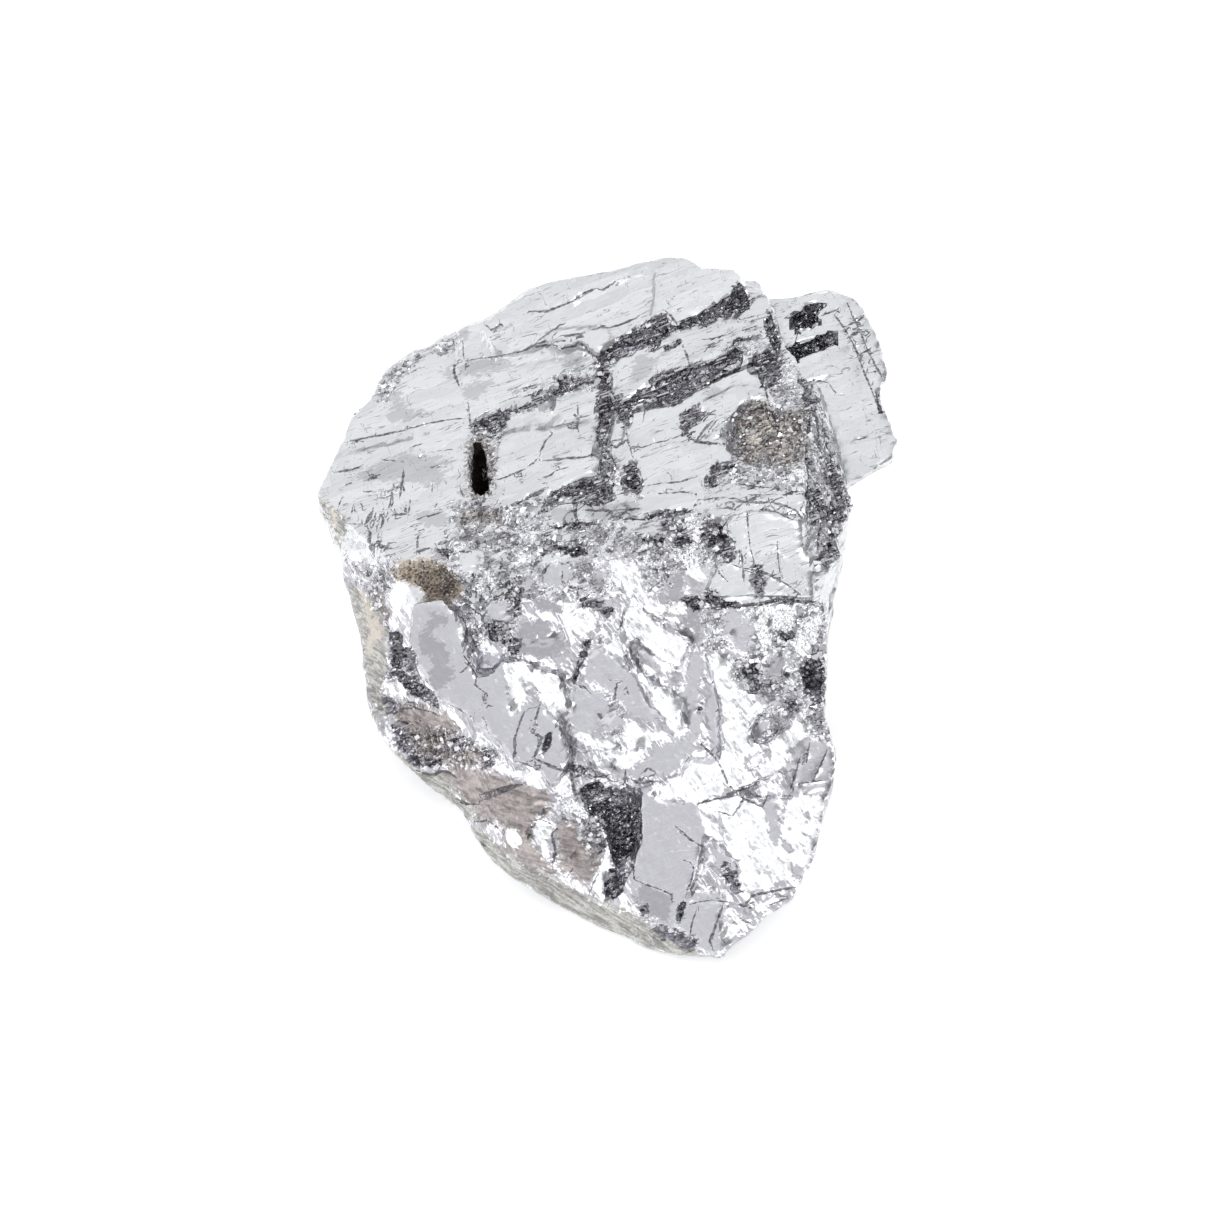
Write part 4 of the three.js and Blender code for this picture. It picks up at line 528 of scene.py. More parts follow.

# the deep slot between two laths, painted near black: painted shade
pitOutlines = [
    [(-13.5, 16.6), (-12.7, 16.7), (-12.4, 15.7), (-12.1, 14.5), (-11.9, 13.3), (-11.8, 12.2),
     (-12.1, 11.5), (-13.3, 11.2), (-13.6, 12.3), (-13.5, 14.5)],
]

# [width in mm, then points]: gaps and joints between the cleaved laths
crackStrokes = [
    [0.14, (-26.3, 16.7), (-23.7, 17.2), (-20.7, 17.8), (-18.9, 18.3), (-17.9, 18.6), (-16.7, 18.8),
     (-15.2, 19), (-14.1, 19)],
    [0.12, (-27.6, 13.6), (-27.1, 13.7), (-26.2, 13.8), (-25.5, 14), (-24.8, 14.3)],
    [0.15, (-22.7, 14.9), (-21.7, 14.8), (-20.7, 14.7)], [0.22, (-24.1, 13.4), (-23.8, 13), (-23.2, 13)],
    [0.15, (-24.1, 13.4), (-23.1, 13.3)], [0.22, (-20.5, 13.7), (-20.7, 12.2), (-20.9, 11)],
    [0.22, (-21.9, 11.8), (-21.4, 11.8)], [0.15, (-21.5, 12.1), (-20.7, 12.1)],
    [0.13, (-21.7, 11.8), (-21.8, 10.7), (-22.1, 9.5)],
    [0.12, (-24.4, 11.6), (-23.2, 11.6), (-22.2, 11.7), (-21.6, 11.8)], [0.12, (-19.6, 12.5), (-19.6, 12)],
    [0.26, (-19.8, 10.5), (-20, 9.5)], [0.28, (-21.3, 9.3), (-20.2, 9.4)], [0.22, (-21.3, 9.6), (-21.3, 9)],
    [0.13, (-17.6, 12.6), (-17.6, 11.8)], [0.12, (-17.1, 10.6), (-17.1, 10.3)],
    [0.2, (-26.7, 11), (-27, 10.4), (-27.2, 9.8)], [0.13, (-25.5, 10.8), (-25.7, 9.6)],
    [0.16, (-24.7, 10.3), (-24.6, 9.9)], [0.1, (-26.5, 11.9), (-26.2, 11.9)], [0.1, (-23, 11), (-22.3, 11)],
    [0.22, (-26.2, 8.4), (-25, 8.4)], [0.45, (-23.6, 9.7), (-23.9, 9.1), (-24.3, 8.4)],
    [0.32, (-23.4, 8.6), (-23.7, 7.9)],
    [0.33, (-24.1, 8), (-23.8, 7.4), (-23.9, 6.7), (-23.7, 5.9), (-23.8, 5.4)],
    [0.26, (-22.8, 9.3), (-22.5, 8.9), (-22.6, 8.4), (-22.9, 7.7)], [0.13, (-22.7, 7.7), (-22.6, 6.6)],
    [0.32, (-23.5, 6.2), (-23, 6.6), (-22.7, 6), (-22, 6.1), (-21.9, 6.4), (-21.4, 6.5)],
    [0.26, (-23.4, 6.2), (-23.4, 5.4)], [0.1, (-19.8, 7.7), (-18.6, 7.7)],
    [0.15, (-18.9, 7.6), (-19, 6.7), (-19.1, 5.5)], [0.26, (-19.1, 5.6), (-17.9, 5.9)],
    [0.2, (-16.6, 6), (-16.2, 5.4), (-15.8, 4.7)], [0.1, (-22.7, 5.1), (-21.5, 5.3)],
    [0.13, (-18.7, 14.1), (-16.3, 14.1)], [0.1, (-19.1, 15.1), (-18.4, 15)],
    [0.25, (-14.8, 12), (-14.5, 11.3)], [0.15, (-15, 13), (-14.8, 13.2)],
    [0.12, (-17.1, 14.4), (-16.6, 14.3)], [0.1, (-26, 12.8), (-25.7, 12.8)],
    [0.08, (-26.2, 16.1), (-25.5, 16.2)], [0.1, (-17.8, 15.7), (-15.7, 15.9)],
    [0.1, (-17.9, 9.1), (-16.7, 9.5)], [0.12, (-19.4, 8.7), (-18.2, 9.2)],
    [0.22, (-19.7, 16.2), (-18.9, 16.4)], [0.3, (-16.6, 5.4), (-17.1, 6.1)],
    [0.2, (-16.4, 7.5), (-16, 7.9)], [0.3, (-16.3, 6.9), (-15.8, 7.3)],
    [0.15, (-15.5, 24.6), (-14.4, 24.9), (-12.7, 25.2), (-10.7, 25.3), (-8.6, 25.7)],
    [0.25, (-15.5, 24.6), (-15.4, 23.5), (-15, 22.4)], [0.08, (-14.6, 26.9), (-14.6, 25.7), (-14.3, 24.2)],
    [0.25, (-12.2, 28.5), (-11.8, 28.1), (-10.7, 28.6)], [0.1, (-11.7, 27), (-11.1, 27.3), (-10.4, 27.6)],
    [0.23, (-7.7, 29.9), (-5.9, 29.9), (-4.7, 30.4), (-3.7, 30.8), (-2.7, 31.4), (-1.7, 31.9),
     (-1.1, 32.2)],
    [0.2, (-1.1, 32.2), (-0.7, 32), (-0.1, 32.2), (0.6, 32.7)],
    [0.25, (-5.2, 28.1), (-4.9, 28.5), (-4.4, 28.6)], [0.1, (-7, 26.9), (-6.2, 27.4), (-5.4, 28.1)],
    [0.33, (-4.6, 27.4), (-3.7, 27.4), (-2.8, 27.5), (-2.1, 27.8)],
    [0.16, (-2.1, 27.8), (-0.9, 28.2), (-0.5, 28.4), (0, 28.2), (1.3, 28.5), (2.9, 29.2), (4.5, 30.1)],
    [0.29, (-8.7, 25.7), (-7.9, 26), (-7.5, 26.3), (-6.8, 26.2), (-5.5, 26.4)],
    [0.16, (-5.7, 26.5), (-5.5, 26.9), (-4.6, 27.4)],
    [0.2, (-4.8, 25.9), (-3.9, 26.1), (-3.2, 26.3), (-2.9, 26.6), (-2.4, 26.3), (-1.7, 25.6),
     (-0.9, 24.9)],
    [0.16, (-8.5, 22), (-7.7, 22.3), (-6.7, 22.6)],
    [0.1, (-10.9, 20.6), (-9.7, 21.1), (-8.7, 21.3), (-7.4, 21.4)],
    [0.12, (-14, 20.6), (-13.9, 19.5), (-13.8, 18.6)],
    [0.2, (-4.7, 21.6), (-3.7, 21.9), (-3.1, 22.2), (-2.3, 22.6), (-1.5, 22.5), (-0.7, 22.4)],
    [0.16, (-3.5, 22.8), (-2.7, 23.1), (-2.1, 23.1)], [0.12, (-11.7, 16.3), (-10.6, 16.7)],
    [0.2, (-6.7, 15.6), (-6.2, 16.7), (-5.6, 17.3)], [0.16, (-5.4, 18.2), (-4.2, 18.5), (-3, 18.7)],
    [0.29, (-3.7, 18), (-3, 18)], [0.11, (-3, 20.7), (-2.9, 19.2), (-3, 18.2), (-2.7, 17.1)],
    [0.1, (-2.7, 19.1), (-1.8, 19.3)],
    [0.16, (-10.9, 12.8), (-9.7, 13.3), (-9.1, 13.5), (-8.2, 14), (-7.4, 14.5), (-6.9, 15)],
    [0.2, (-9.3, 13.1), (-8.4, 13.2)],
    [0.18, (-6.7, 14.7), (-5.5, 14.8), (-4.1, 14.9), (-2.7, 15), (-0.8, 15.4)],
    [0.15, (-6.7, 12.8), (-6.1, 13), (-5.5, 13.3)], [0.08, (-5.2, 13.7), (-3.8, 14.1)],
    [0.41, (-8, 11), (-7.2, 11.3), (-6.1, 11.9)], [0.2, (-10.4, 10), (-9.2, 10.3), (-8, 10.7)],
    [0.25, (-2.2, 9.7), (0.5, 9.6)], [0.29, (-5.6, 8.1), (-4.2, 8), (-2.7, 8.3), (-0.6, 8.3)],
    [0.16, (-3.4, 10.9), (-3.3, 9.5), (-3, 8)], [0.12, (-0.7, 10.7), (0.5, 9.1), (3.3, 8.7)],
    [0.11, (3.9, 26.5), (4.8, 25.8), (5.9, 26.4)], [0.25, (5.8, 29.8), (6.5, 29.2), (7.3, 27.9)],
    [0.2, (6.2, 27.6), (7, 28), (7.7, 28)], [0.16, (7.6, 26.2), (8, 25.4), (8.3, 24.1)],
    [0.25, (9.8, 25.7), (10.1, 26.1), (11.1, 26.2)],
    [0.1, (9.3, 26.9), (10.5, 27), (12.3, 27.4), (13.8, 27.8), (15.5, 28.4)],
    [0.12, (13.3, 28.9), (14.3, 29.1), (15.9, 29.5)], [0.18, (14.1, 30.8), (15.6, 31.4)],
    [0.29, (12.6, 26.2), (12.8, 26.7), (13.5, 26.8), (14.3, 26.9)],
    [0.41, (9.7, 22.2), (11.3, 23.1), (12.8, 23.7), (14.3, 24.2), (15.2, 24.3)],
    [0.16, (14.9, 24.2), (15.4, 22.7), (15.9, 21.7), (16.1, 20.4)],
    [0.29, (8.3, 16.8), (9, 16.5), (9.7, 16.4), (11, 16.3)],
    [0.25, (8.9, 16.6), (9.4, 17.3), (10, 18.1), (10.7, 18.7)],
    [0.25, (9.5, 18.9), (9.9, 19.3), (10.6, 19.6)],
    [0.16, (10.6, 17.7), (11.5, 18.5), (12.5, 18.9), (13.4, 19.4)], [0.12, (11.1, 18.1), (12.3, 18.7)],
    [0.29, (0, 16.4), (0.9, 16.1), (1.8, 16.6)], [0.12, (-0.3, 16.5), (0.6, 16.7), (1.8, 17)],
    [0.33, (2.2, 16.1), (3.6, 16)], [0.12, (3.6, 16), (4.8, 16.4), (5.8, 16.6), (7.4, 17.1)],
    [0.16, (1.9, 17.7), (2.2, 16.2), (2.6, 15)], [0.15, (3.8, 19.6), (3.6, 18.6)],
    [0.12, (0.5, 11.1), (3.3, 12), (5.3, 12.4), (7.3, 12.5), (9.5, 13.2)],
    [0.1, (5.3, 11.3), (7.3, 11.5), (8.9, 11.3)],
    [0.49, (4.1, 9), (5.3, 9.2), (6.5, 9.1), (7.8, 9.4), (8.6, 9.7)],
    [0.1, (0.6, 8.7), (2.3, 8.8), (3.9, 8.7)], [0.2, (11, 9.8), (12, 9.9), (12.9, 9.6)],
    [0.2, (12.7, 10.5), (15, 10.4), (16.3, 10.4), (17.8, 10), (18.8, 9.5), (19.6, 8.6)],
    [0.16, (15, 9.8), (16.8, 9.5), (18.3, 8.7)], [0.1, (14.3, 11.1), (16.8, 11.2), (19.4, 11.2)],
    [0.16, (13.1, 12.2), (15.3, 12), (17.3, 11.8), (19.6, 11.4)],
    [0.12, (9.3, 10.7), (11.3, 10.9), (13.3, 10.7)],
    [0.11, (13.9, 9.5), (14, 7.7), (14.2, 5.9), (14.9, 3.5)], [0.29, (13.3, 5.5), (13.5, 3.9)],
    [0.2, (13.5, 3.9), (13.6, 2.4)], [0.16, (12, 4.4), (13.3, 3.9), (15.5, 3.5), (17.9, 2.2), (19.4, 1)],
    [0.11, (16.9, 6.2), (17, 4.7), (17.2, 3)], [0.2, (11.2, 3.3), (11.9, 2.6)],
    [0.1, (12.8, 6.2), (12.6, 4.7)], [0.49, (7.6, 0.7), (9.3, 0.4), (11.3, 0.3), (12.9, 0.1)],
    [0.33, (12.9, 0.1), (14.8, 0.3), (16.8, 0.6), (19.3, 0.5), (20.9, 0.5)],
    [0.16, (-14.3, -1.3), (-13.9, -2.5), (-14, -3.3)], [0.41, (-14, -2.1), (-14, -3.3), (-14.3, -4.5)],
    [0.18, (-14.4, -4.7), (-13.9, -5.4), (-13, -6.8), (-13.2, -7.8), (-12.7, -8.2), (-12, -8.7),
     (-11.9, -9.2)],
    [0.15, (-13.2, -4), (-13.7, -5)], [0.33, (-14.4, -6.4), (-14, -6)],
    [0.16, (-13.6, -10.8), (-13.7, -11.6)], [0.1, (-12.7, -10.4), (-12.1, -11.5), (-12, -12.4)],
    [0.1, (-12.5, -8.8), (-12.3, -9.6), (-11.6, -9.9)], [0.25, (-8.3, -10.4), (-8.8, -11.8), (-9.2, -13.1)],
    [0.33, (-9.2, -13.1), (-9.2, -14.3), (-9.4, -15.3)], [0.2, (-9.4, -15.3), (-8.2, -15.7), (-7, -16.2)],
    [0.15, (-6.7, -9.7), (-7.1, -11.1), (-7.5, -12.5)], [0.16, (-6.9, -11.2), (-7.3, -12.6)],
    [0.29, (-7.6, -12.5), (-6.5, -13), (-6.9, -14.1), (-7.3, -15.1)],
    [0.33, (-7.3, -15.1), (-6.2, -15.6), (-5.2, -16.1), (-4, -16.4)], [0.2, (-3.8, -14.1), (-3.2, -13.8)],
    [0.2, (-3.2, -7.7), (-2.2, -8.1), (-1.5, -8.8)], [0.29, (1, -7.6), (0.8, -8.7), (0.5, -9.6)],
    [0.06, (0.2, -7.3), (1.8, -7.4), (2.1, -8.6)], [0.29, (1.5, -0.8), (1.3, -2.2)],
    [0.29, (-6.7, 3), (-6.2, 3.6), (-5.8, 4.2)], [0.25, (-4.4, 3.4), (-4.5, 2.6)],
    [0.25, (-13.7, 0.6), (-11.7, 0.8), (-9.7, 0.9)], [0.2, (19.3, -14.8), (18.9, -16.3), (18.4, -18)],
    [0.2, (21.9, -14.4), (21.3, -15.8), (20.5, -17.4)], [0.12, (19.2, -17.6), (20.5, -17.4), (22, -17.3)],
    [0.16, (20.2, -13.6), (19.9, -15.5)],
    [0.18, (9.5, -13.8), (10.8, -15), (11.5, -16.3), (12.1, -17.8), (12.8, -18.4), (14.3, -18)],
    [0.2, (11, -20.4), (11.7, -20.6), (12.5, -20.9), (13.1, -20.1), (13.6, -19.1), (14.5, -19.5),
     (15.5, -20), (16.1, -18.6)],
    [0.18, (9.3, -19.6), (10.8, -19.1), (12.8, -18.8)],
    [0.2, (6.9, -22), (7.8, -22.8), (8.5, -23.4), (9.5, -23.9)],
    [0.15, (7.7, -25.4), (8.3, -25.5), (8.7, -26.1), (8.5, -27.3), (8.1, -28.3), (7.8, -29.4)],
    [0.18, (2.7, -27.3), (3.8, -27.8), (5.3, -28.3), (6.5, -28.8), (6.5, -29.4)],
    [0.33, (11.6, -30), (11.1, -31.3), (10.7, -32.5), (10.3, -33.5), (10.6, -34.2)],
    [0.15, (8.3, -29.8), (9.3, -29.5), (10.6, -29.3), (13.4, -29.8)], [0.33, (10.4, -29.3), (10.7, -29.3)],
    [0.1, (9, -30.2), (8.5, -31.8), (8.3, -33.2)], [0.2, (2, -25.3), (2.6, -26.1), (2.7, -27.2)],
    [0.25, (13.7, -30), (14.5, -29), (15.8, -28.6), (17.3, -28.3), (18.6, -28.1)],
    [0.41, (13.3, -29.8), (14.2, -30.1)], [0.33, (13.4, -31.3), (14.2, -31.6)],
    [0.15, (16.1, -29.9), (18.2, -29.1)], [0.29, (-3.6, -16.1), (-3.5, -17.3), (-3.3, -18.8)],
    [0.29, (-1.5, -16.3), (-0.4, -16.8), (0.5, -17.5)], [0.29, (1.9, -16.3), (1.7, -17.3)],
    [0.12, (-3.6, -16.1), (-1.7, -17.1), (-0.4, -17.7)], [0.25, (3.3, -16.8), (4.1, -16.1), (4.8, -16.5)],
    [0.25, (-13.2, -23.6), (-12.4, -24.1)], [0.25, (-13.2, -21.7), (-12.2, -21.5), (-11.2, -22.1)],
    [0.25, (-12.7, -19.5), (-11.2, -18.9), (-9.9, -18.3), (-8.7, -17.8)],
    [0.29, (-15.5, -19.3), (-14.2, -19.9), (-13.2, -19.9)],
    [0.29, (-5.5, -22.9), (-5.2, -24.3), (-5.5, -26.1)], [0.33, (-4.1, -27.3), (-3.6, -26.5)],
    [0.16, (-1.8, -28.8), (-1.3, -27.5), (-0.8, -26.6)], [0.16, (-7.9, -23.1), (-7.5, -22.1)],
    [0.2, (-6.7, -21.3), (-5.9, -21.6), (-5.1, -22.1)], [0.25, (20.5, 20.9), (21.1, 17.7), (21.5, 13.7)],
    [0.2, (21.6, 18.7), (22.3, 15.7), (22.7, 12.5)], [0.25, (19.9, 16.7), (20.1, 12.7), (19.9, 8.5)],
    [0.2, (22.3, 10.7), (22.6, 7.7), (22.1, 5.1)], [0.16, (23.2, 10.9), (22.9, 8.2)],
    [0.25, (20.9, 12.7), (21.2, 8.7), (20.9, 5.7)], [0.16, (16.1, 20.4), (16.8, 18.7), (17.2, 16.7)],
    [0.2, (17, 19.2), (17.4, 16.7), (17.1, 15.7)],
    [0.25, (-19.1, -16.6), (-18.4, -16.8), (-17.5, -17), (-16.7, -16.6), (-16, -16.7), (-15.4, -17.1)],
    [0.35, (-12.7, -18.9), (-11.7, -18.6), (-10.7, -18.2), (-9.2, -17.9), (-8.5, -17.8)],
    [0.2, (-3.5, -16.3), (-3.5, -17.3), (-3.2, -18.3), (-2.9, -19.2)],
    [0.3, (-3, -16.3), (-2.8, -16.9), (-3.2, -17)],
    [0.2, (-1.3, -16.4), (-1, -17), (0.1, -17.2), (0.7, -17.5)],
    [0.15, (3.3, -20.5), (3.3, -22.3), (2.9, -24.3)], [0.2, (2.7, -19.5), (2.7, -20.1)],
    [0.25, (2, -16.9), (1.8, -17.3)], [0.3, (2.3, -17.2), (3.1, -17.6), (4.3, -17.4), (5.3, -17.4)],
    [0.15, (-20.7, -9.7), (-18.7, -9.6)],
    [0.2, (-20.9, -10.4), (-19.5, -10.2), (-17.7, -10.6), (-17, -10.9)],
    [0.15, (-21.1, -11.5), (-19.7, -11.9)], [0.2, (-18.2, -13.1), (-16.7, -13), (-15.2, -12.6)],
    [0.15, (-16.4, 5.8), (-13.7, 5.5)], [0.12, (-13.4, 3.2), (-13.7, 1.7)],
    [0.15, (-10.7, 5.6), (-10.4, 4.5), (-10.8, 3.5)], [0.2, (-3.1, 10.6), (-3.1, 8)],
    [0.2, (0.5, 9.7), (3.3, 9.8)], [0.15, (-5.1, 6.6), (-2.5, 6.6)],
]

# the smaller crystal's sunk places, painted dark as painted shade, and its joints
sideCrystalDark = [
    [(18.4, 29.4), (19.3, 29.6), (19.9, 29.6), (20.1, 30.5), (20.5, 30.3), (21, 30.6), (21.8, 30.8),
     (22.1, 30.4), (21.1, 29.6), (21.3, 29), (21.6, 28.6), (20.1, 28.1), (19.3, 27.7), (18.8, 28.6)],
    [(17.9, 26), (18.7, 26.3), (20.5, 26.9), (22.7, 27.9), (23.3, 26.6), (21.3, 25.9), (19.6, 25.3),
     (19.2, 24.5), (18.5, 24.8), (17.8, 25.5)],
    [(27.1, 21.8), (27.5, 21.6), (27.7, 20.5), (27.9, 19.5), (27.4, 19.7)],
]
sideCrystalCracks = [
    [0.16, (24.4, 30.7), (24.8, 29.5), (25.4, 28.5), (25.9, 27.2), (26.4, 25.9), (27.1, 24.5),
     (27.8, 23.2)],
    [0.16, (22.9, 29.7), (23.8, 28.5), (24.5, 27.4), (25.3, 25.7), (25.9, 23.9), (26.6, 22.2),
     (27.4, 20.1)],
    [0.11, (23.8, 28.2), (25.5, 29), (26.2, 29.6)], [0.37, (24.5, 27.4), (25.1, 27.7), (25.8, 28.1)],
    [0.33, (26.2, 28), (26.5, 27.8)], [0.15, (21.5, 29.4), (23.3, 30.1)],
    [0.2, (19.9, 22.3), (20.8, 22.7), (21.5, 22.9), (22.2, 22.7)],
    [0.37, (20.8, 22.1), (21.2, 21.4), (21.5, 20.6)], [0.15, (23, 21.3), (23.7, 21.4)],
    [0.15, (22.5, 22.4), (22.9, 21.8)], [0.16, (24.4, 16.6), (25.3, 16.9), (26.6, 17.2)],
    [0.1, (19.3, 27.7), (19, 26.7)], [0.15, (25.5, 25.5), (26.5, 26.1)], [0.1, (26.3, 24.2), (27.1, 24.5)],
]

# sparkling ground with a brown film
rustOutlines = [
    [(12.8, 17.7), (13, 18.7), (13.7, 19.9), (14.5, 20.5), (15.5, 20.7), (16.1, 20.3), (16.8, 19.7),
     (17.9, 19.5), (18.9, 19.6), (19.7, 20.1), (20.1, 18.9), (20.3, 16.7), (19.9, 15.2), (19, 14.2),
     (17.8, 14), (16.3, 14.3), (15.3, 14.5), (14.1, 14.1), (13.1, 14.9)],
    [(-14.9, 9.2), (-13.2, 9.9), (-10.7, 9.8), (-10.7, 8.9), (-13.2, 8.3), (-14.7, 8.1)],
    [(-13.9, 16.9), (-12.3, 17.1), (-11.6, 15.2), (-11.4, 12.7), (-11.7, 11.1), (-13.7, 11),
     (-14.1, 12.7), (-14, 15.2)],
    [(-20.9, -12.1), (-19.5, -11.7), (-17.5, -12.1), (-15.2, -13.1), (-12.9, -14.3), (-12.1, -15.7),
     (-14.5, -16.2), (-17.1, -16), (-19.3, -14.9)],
]

# the hollow filled with brown limonite
limoniteOutlines = [
    [(-21.9, 3.5), (-20.7, 4.4), (-18.2, 4.8), (-16.2, 4.2), (-14.9, 3.2), (-14.5, 1.7), (-14.7, 0.5),
     (-15.5, 0.9), (-16.7, 0.9), (-18.2, 1.3), (-18.9, 2.3), (-20.7, 2.7)],
]

# its darkest bits, at its right end: dark brown spots, and painted shade of the hollow
umberAndShadeOutlines = [
    [(-16.7, 4.1), (-15.7, 4), (-15, 3), (-15.1, 1.9), (-15.7, 1.1), (-16.6, 1.2), (-17.1, 1.9),
     (-16.5, 2.8)],
]

# thin rosy films
roseOutlines = [
    [(-21, -9.3), (-19.9, -9.8), (-18.2, -9.7), (-16.7, -10.5), (-15.4, -11.3), (-14.5, -12.1),
     (-15.5, -12.9), (-17.7, -12.5), (-19.5, -12.9), (-20.9, -12.1), (-21.7, -10.9)],
    [(-18.2, -16.8), (-15.7, -16.1), (-12.7, -16.3), (-9.7, -17.1), (-6.2, -18.3), (-5.5, -19.3),
     (-6.2, -20.8), (-7.5, -21.7), (-7.7, -23.1), (-6.7, -24.3), (-6.7, -25.5), (-5.5, -26.1),
     (-5.1, -27.3), (-7.2, -26.7), (-9.5, -25.5), (-10.2, -24.3), (-10.4, -22.3), (-11.7, -21.9),
     (-13.2, -21.5), (-13.9, -20.1), (-16.1, -18.5)],
    [(-4.7, -21.9), (-3.2, -21.5), (-1.7, -22.8), (-0.7, -24.3), (-0.9, -26.3), (-1.7, -28.1),
     (-3.2, -27.1), (-4.9, -26.5), (-5.1, -24.3)],
    [(-23.7, 2.1), (-22.8, 1.7), (-22.6, 0.3), (-21.8, -0.7), (-21.8, -2.1), (-22.6, -1.7), (-23.5, -0.4),
     (-24, 0.9)],
]

# the weathered rind of host rock
rindOutlines = [
    [(-28.9, 10.9), (-27.9, 10.5), (-26.2, 8.7), (-26.3, 7.5), (-26.9, 6.2), (-28.1, 8.3)],
    [(-26.3, 2.5), (-25.3, 2.4), (-23.9, 0.7), (-23.3, -0.7), (-22.1, -2.5), (-22.1, -4.3), (-22.3, -6.1),
     (-22.7, -8.3), (-22.3, -10.5), (-23.3, -11.1), (-24.5, -8.3), (-25.1, -3.3), (-26.1, 0.7)],
    [(-22.2, -13.8), (-20.7, -15.3), (-19.2, -16.3), (-16.7, -17.1), (-15.1, -18.8), (-13.7, -19.9),
     (-13.3, -21.3), (-14.5, -21.3), (-16.7, -19.8), (-20.7, -16.8)],
    [(-14.5, -21.9), (-12.2, -22.8), (-10.2, -24.5), (-7.7, -26.3), (-4.7, -27.5), (-1.7, -29.3),
     (1.3, -30.1), (4.3, -31.8), (6.5, -32.8), (9.3, -34.5), (8.3, -35.8), (3.3, -34.3), (-4.7, -30.5),
     (-12.7, -25.3)],
]

# smooth cream bits of the rind
creamOutlines = [
    [(-25, 1.8), (-24.5, 1.5), (-24, 0.5), (-23.5, -0.5), (-22.9, -1.7), (-22.3, -2.3), (-22.6, -3.3),
     (-23.5, -3.3), (-23.7, -4.5), (-24.4, -4.9), (-24.4, -3.4), (-23.9, -2.3), (-24.6, -1.1),
     (-24.4, -0.1), (-25, 0.9)],
    [(-28.1, 10.1), (-27.5, 9.8), (-27.1, 8.7), (-27.5, 8), (-27.9, 8.9)],
    [(-21.3, 4.4), (-20.6, 3.9), (-20.8, 3.1), (-21.5, 3.3)],
    [(13.9, 17.1), (14.7, 17.5), (15.3, 16.7), (14.5, 16.1)],
    [(15.9, 18.7), (16.5, 18.3), (16.1, 17.5), (15.7, 17.9)],
]


# which sides of a triangle are cut, as the sum of 1, 2 and 4, and the triangles it then makes of its
# corners 0 to 2 and its sides' middles 3 to 5
cutTemplates = {
    0: [(0, 1, 2)],
    1: [(0, 3, 2), (3, 1, 2)],
    2: [(0, 1, 4), (0, 4, 2)],
    4: [(0, 1, 5), (5, 1, 2)],
    3: [(3, 1, 4), (0, 3, 4), (0, 4, 2)],
    6: [(4, 2, 5), (0, 1, 4), (0, 4, 5)],
    5: [(0, 3, 5), (3, 1, 2), (3, 2, 5)],
    7: [(0, 3, 5), (3, 1, 4), (5, 4, 2), (3, 4, 5)],
}


# every edge longer than its limit gets a new vertex at its middle, and its triangles are cut there,
# over and over until no edge is too long
def splitLongEdges(points, faces, shortest, limitAt, rounds):
    for _ in range(rounds):
        sides = np.stack([faces, np.roll(faces, -1, axis=1)], axis=2)
        edges, which = np.unique(np.sort(sides.reshape(-1, 2), axis=1), axis=0, return_inverse=True)
        a, b = points[edges[:, 0]], points[edges[:, 1]]
        middle = (a + b) / 2
        length = np.linalg.norm(b - a, axis=1)
        tooLong = length > shortest
        tooLong[tooLong] = length[tooLong] > limitAt(middle[tooLong])
        if not tooLong.any():
            break
        newIndex = np.full(len(edges), -1)
        newIndex[tooLong] = len(points) + np.arange(tooLong.sum())
        points = np.concatenate([points, middle[tooLong]])
        middles = newIndex[which.reshape(-1, 3)]
        code = ((middles >= 0) * np.array([1, 2, 4])).sum(1)
        corners = np.concatenate([faces, middles], axis=1)
        faces = np.concatenate([corners[code == key][:, triangle]
                                for key, parts in cutTemplates.items() for triangle in parts])
    return points, faces


# each vector at unit length: itself over its length
def unit(vectors):
    return vectors / np.maximum(np.linalg.norm(vectors, axis=-1, keepdims=True), 1e-12)


# cross product of two sides of each triangle: it points out, and is twice as long as the area
def crossProducts(points, faces):
    a, b, c = (points[faces[:, i]] for i in range(3))
    return np.cross(b - a, c - a)


# area-weighted normal at each vertex: the sum of its triangles' cross products, at unit length
def vertexNormals(points, faces):
    cross = crossProducts(points, faces)
    normals = np.zeros_like(points)
    for i in range(3):
        for axis in range(3):
            normals[:, axis] += np.bincount(faces[:, i], cross[:, axis], len(points))
    return unit(normals)


# a mesh object from arrays: shaded smooth but for edges sharper than an angle in degrees, with one
# number for each vertex in each attribute
def addPiece(name, points, faces, material, attributes, smoothAngle):
    mesh = bpy.data.meshes.new(name)
    mesh.from_pydata([], [], [])
    mesh.vertices.add(len(points))
    mesh.vertices.foreach_set("co", points.astype(np.float32).ravel())
    size = faces.shape[1]
    mesh.loops.add(faces.size)
    mesh.loops.foreach_set("vertex_index", faces.astype(np.int32).ravel())
    mesh.polygons.add(len(faces))
    mesh.polygons.foreach_set("loop_start", np.arange(0, faces.size, size, dtype=np.int32))
    mesh.update(calc_edges=True)
    mesh.shade_smooth()
    mesh.set_sharp_from_angle(angle=math.radians(smoothAngle))
    for key, values in attributes.items():
        mesh.attributes.new(key, "FLOAT", "POINT").data.foreach_set("value", values.astype(np.float32))
    mesh.materials.append(material)
    piece = bpy.data.objects.new(name, mesh)
    bpy.context.collection.objects.link(piece)
    return piece


# sRGB hex to linear colour
def linear(hexText):
    channels = [int(hexText[i:i + 2], 16) / 255 for i in (0, 2, 4)]
    return [c / 12.92 if c <= 0.04045 else ((c + 0.055) / 1.055) ** 2.4 for c in channels] + [1.0]


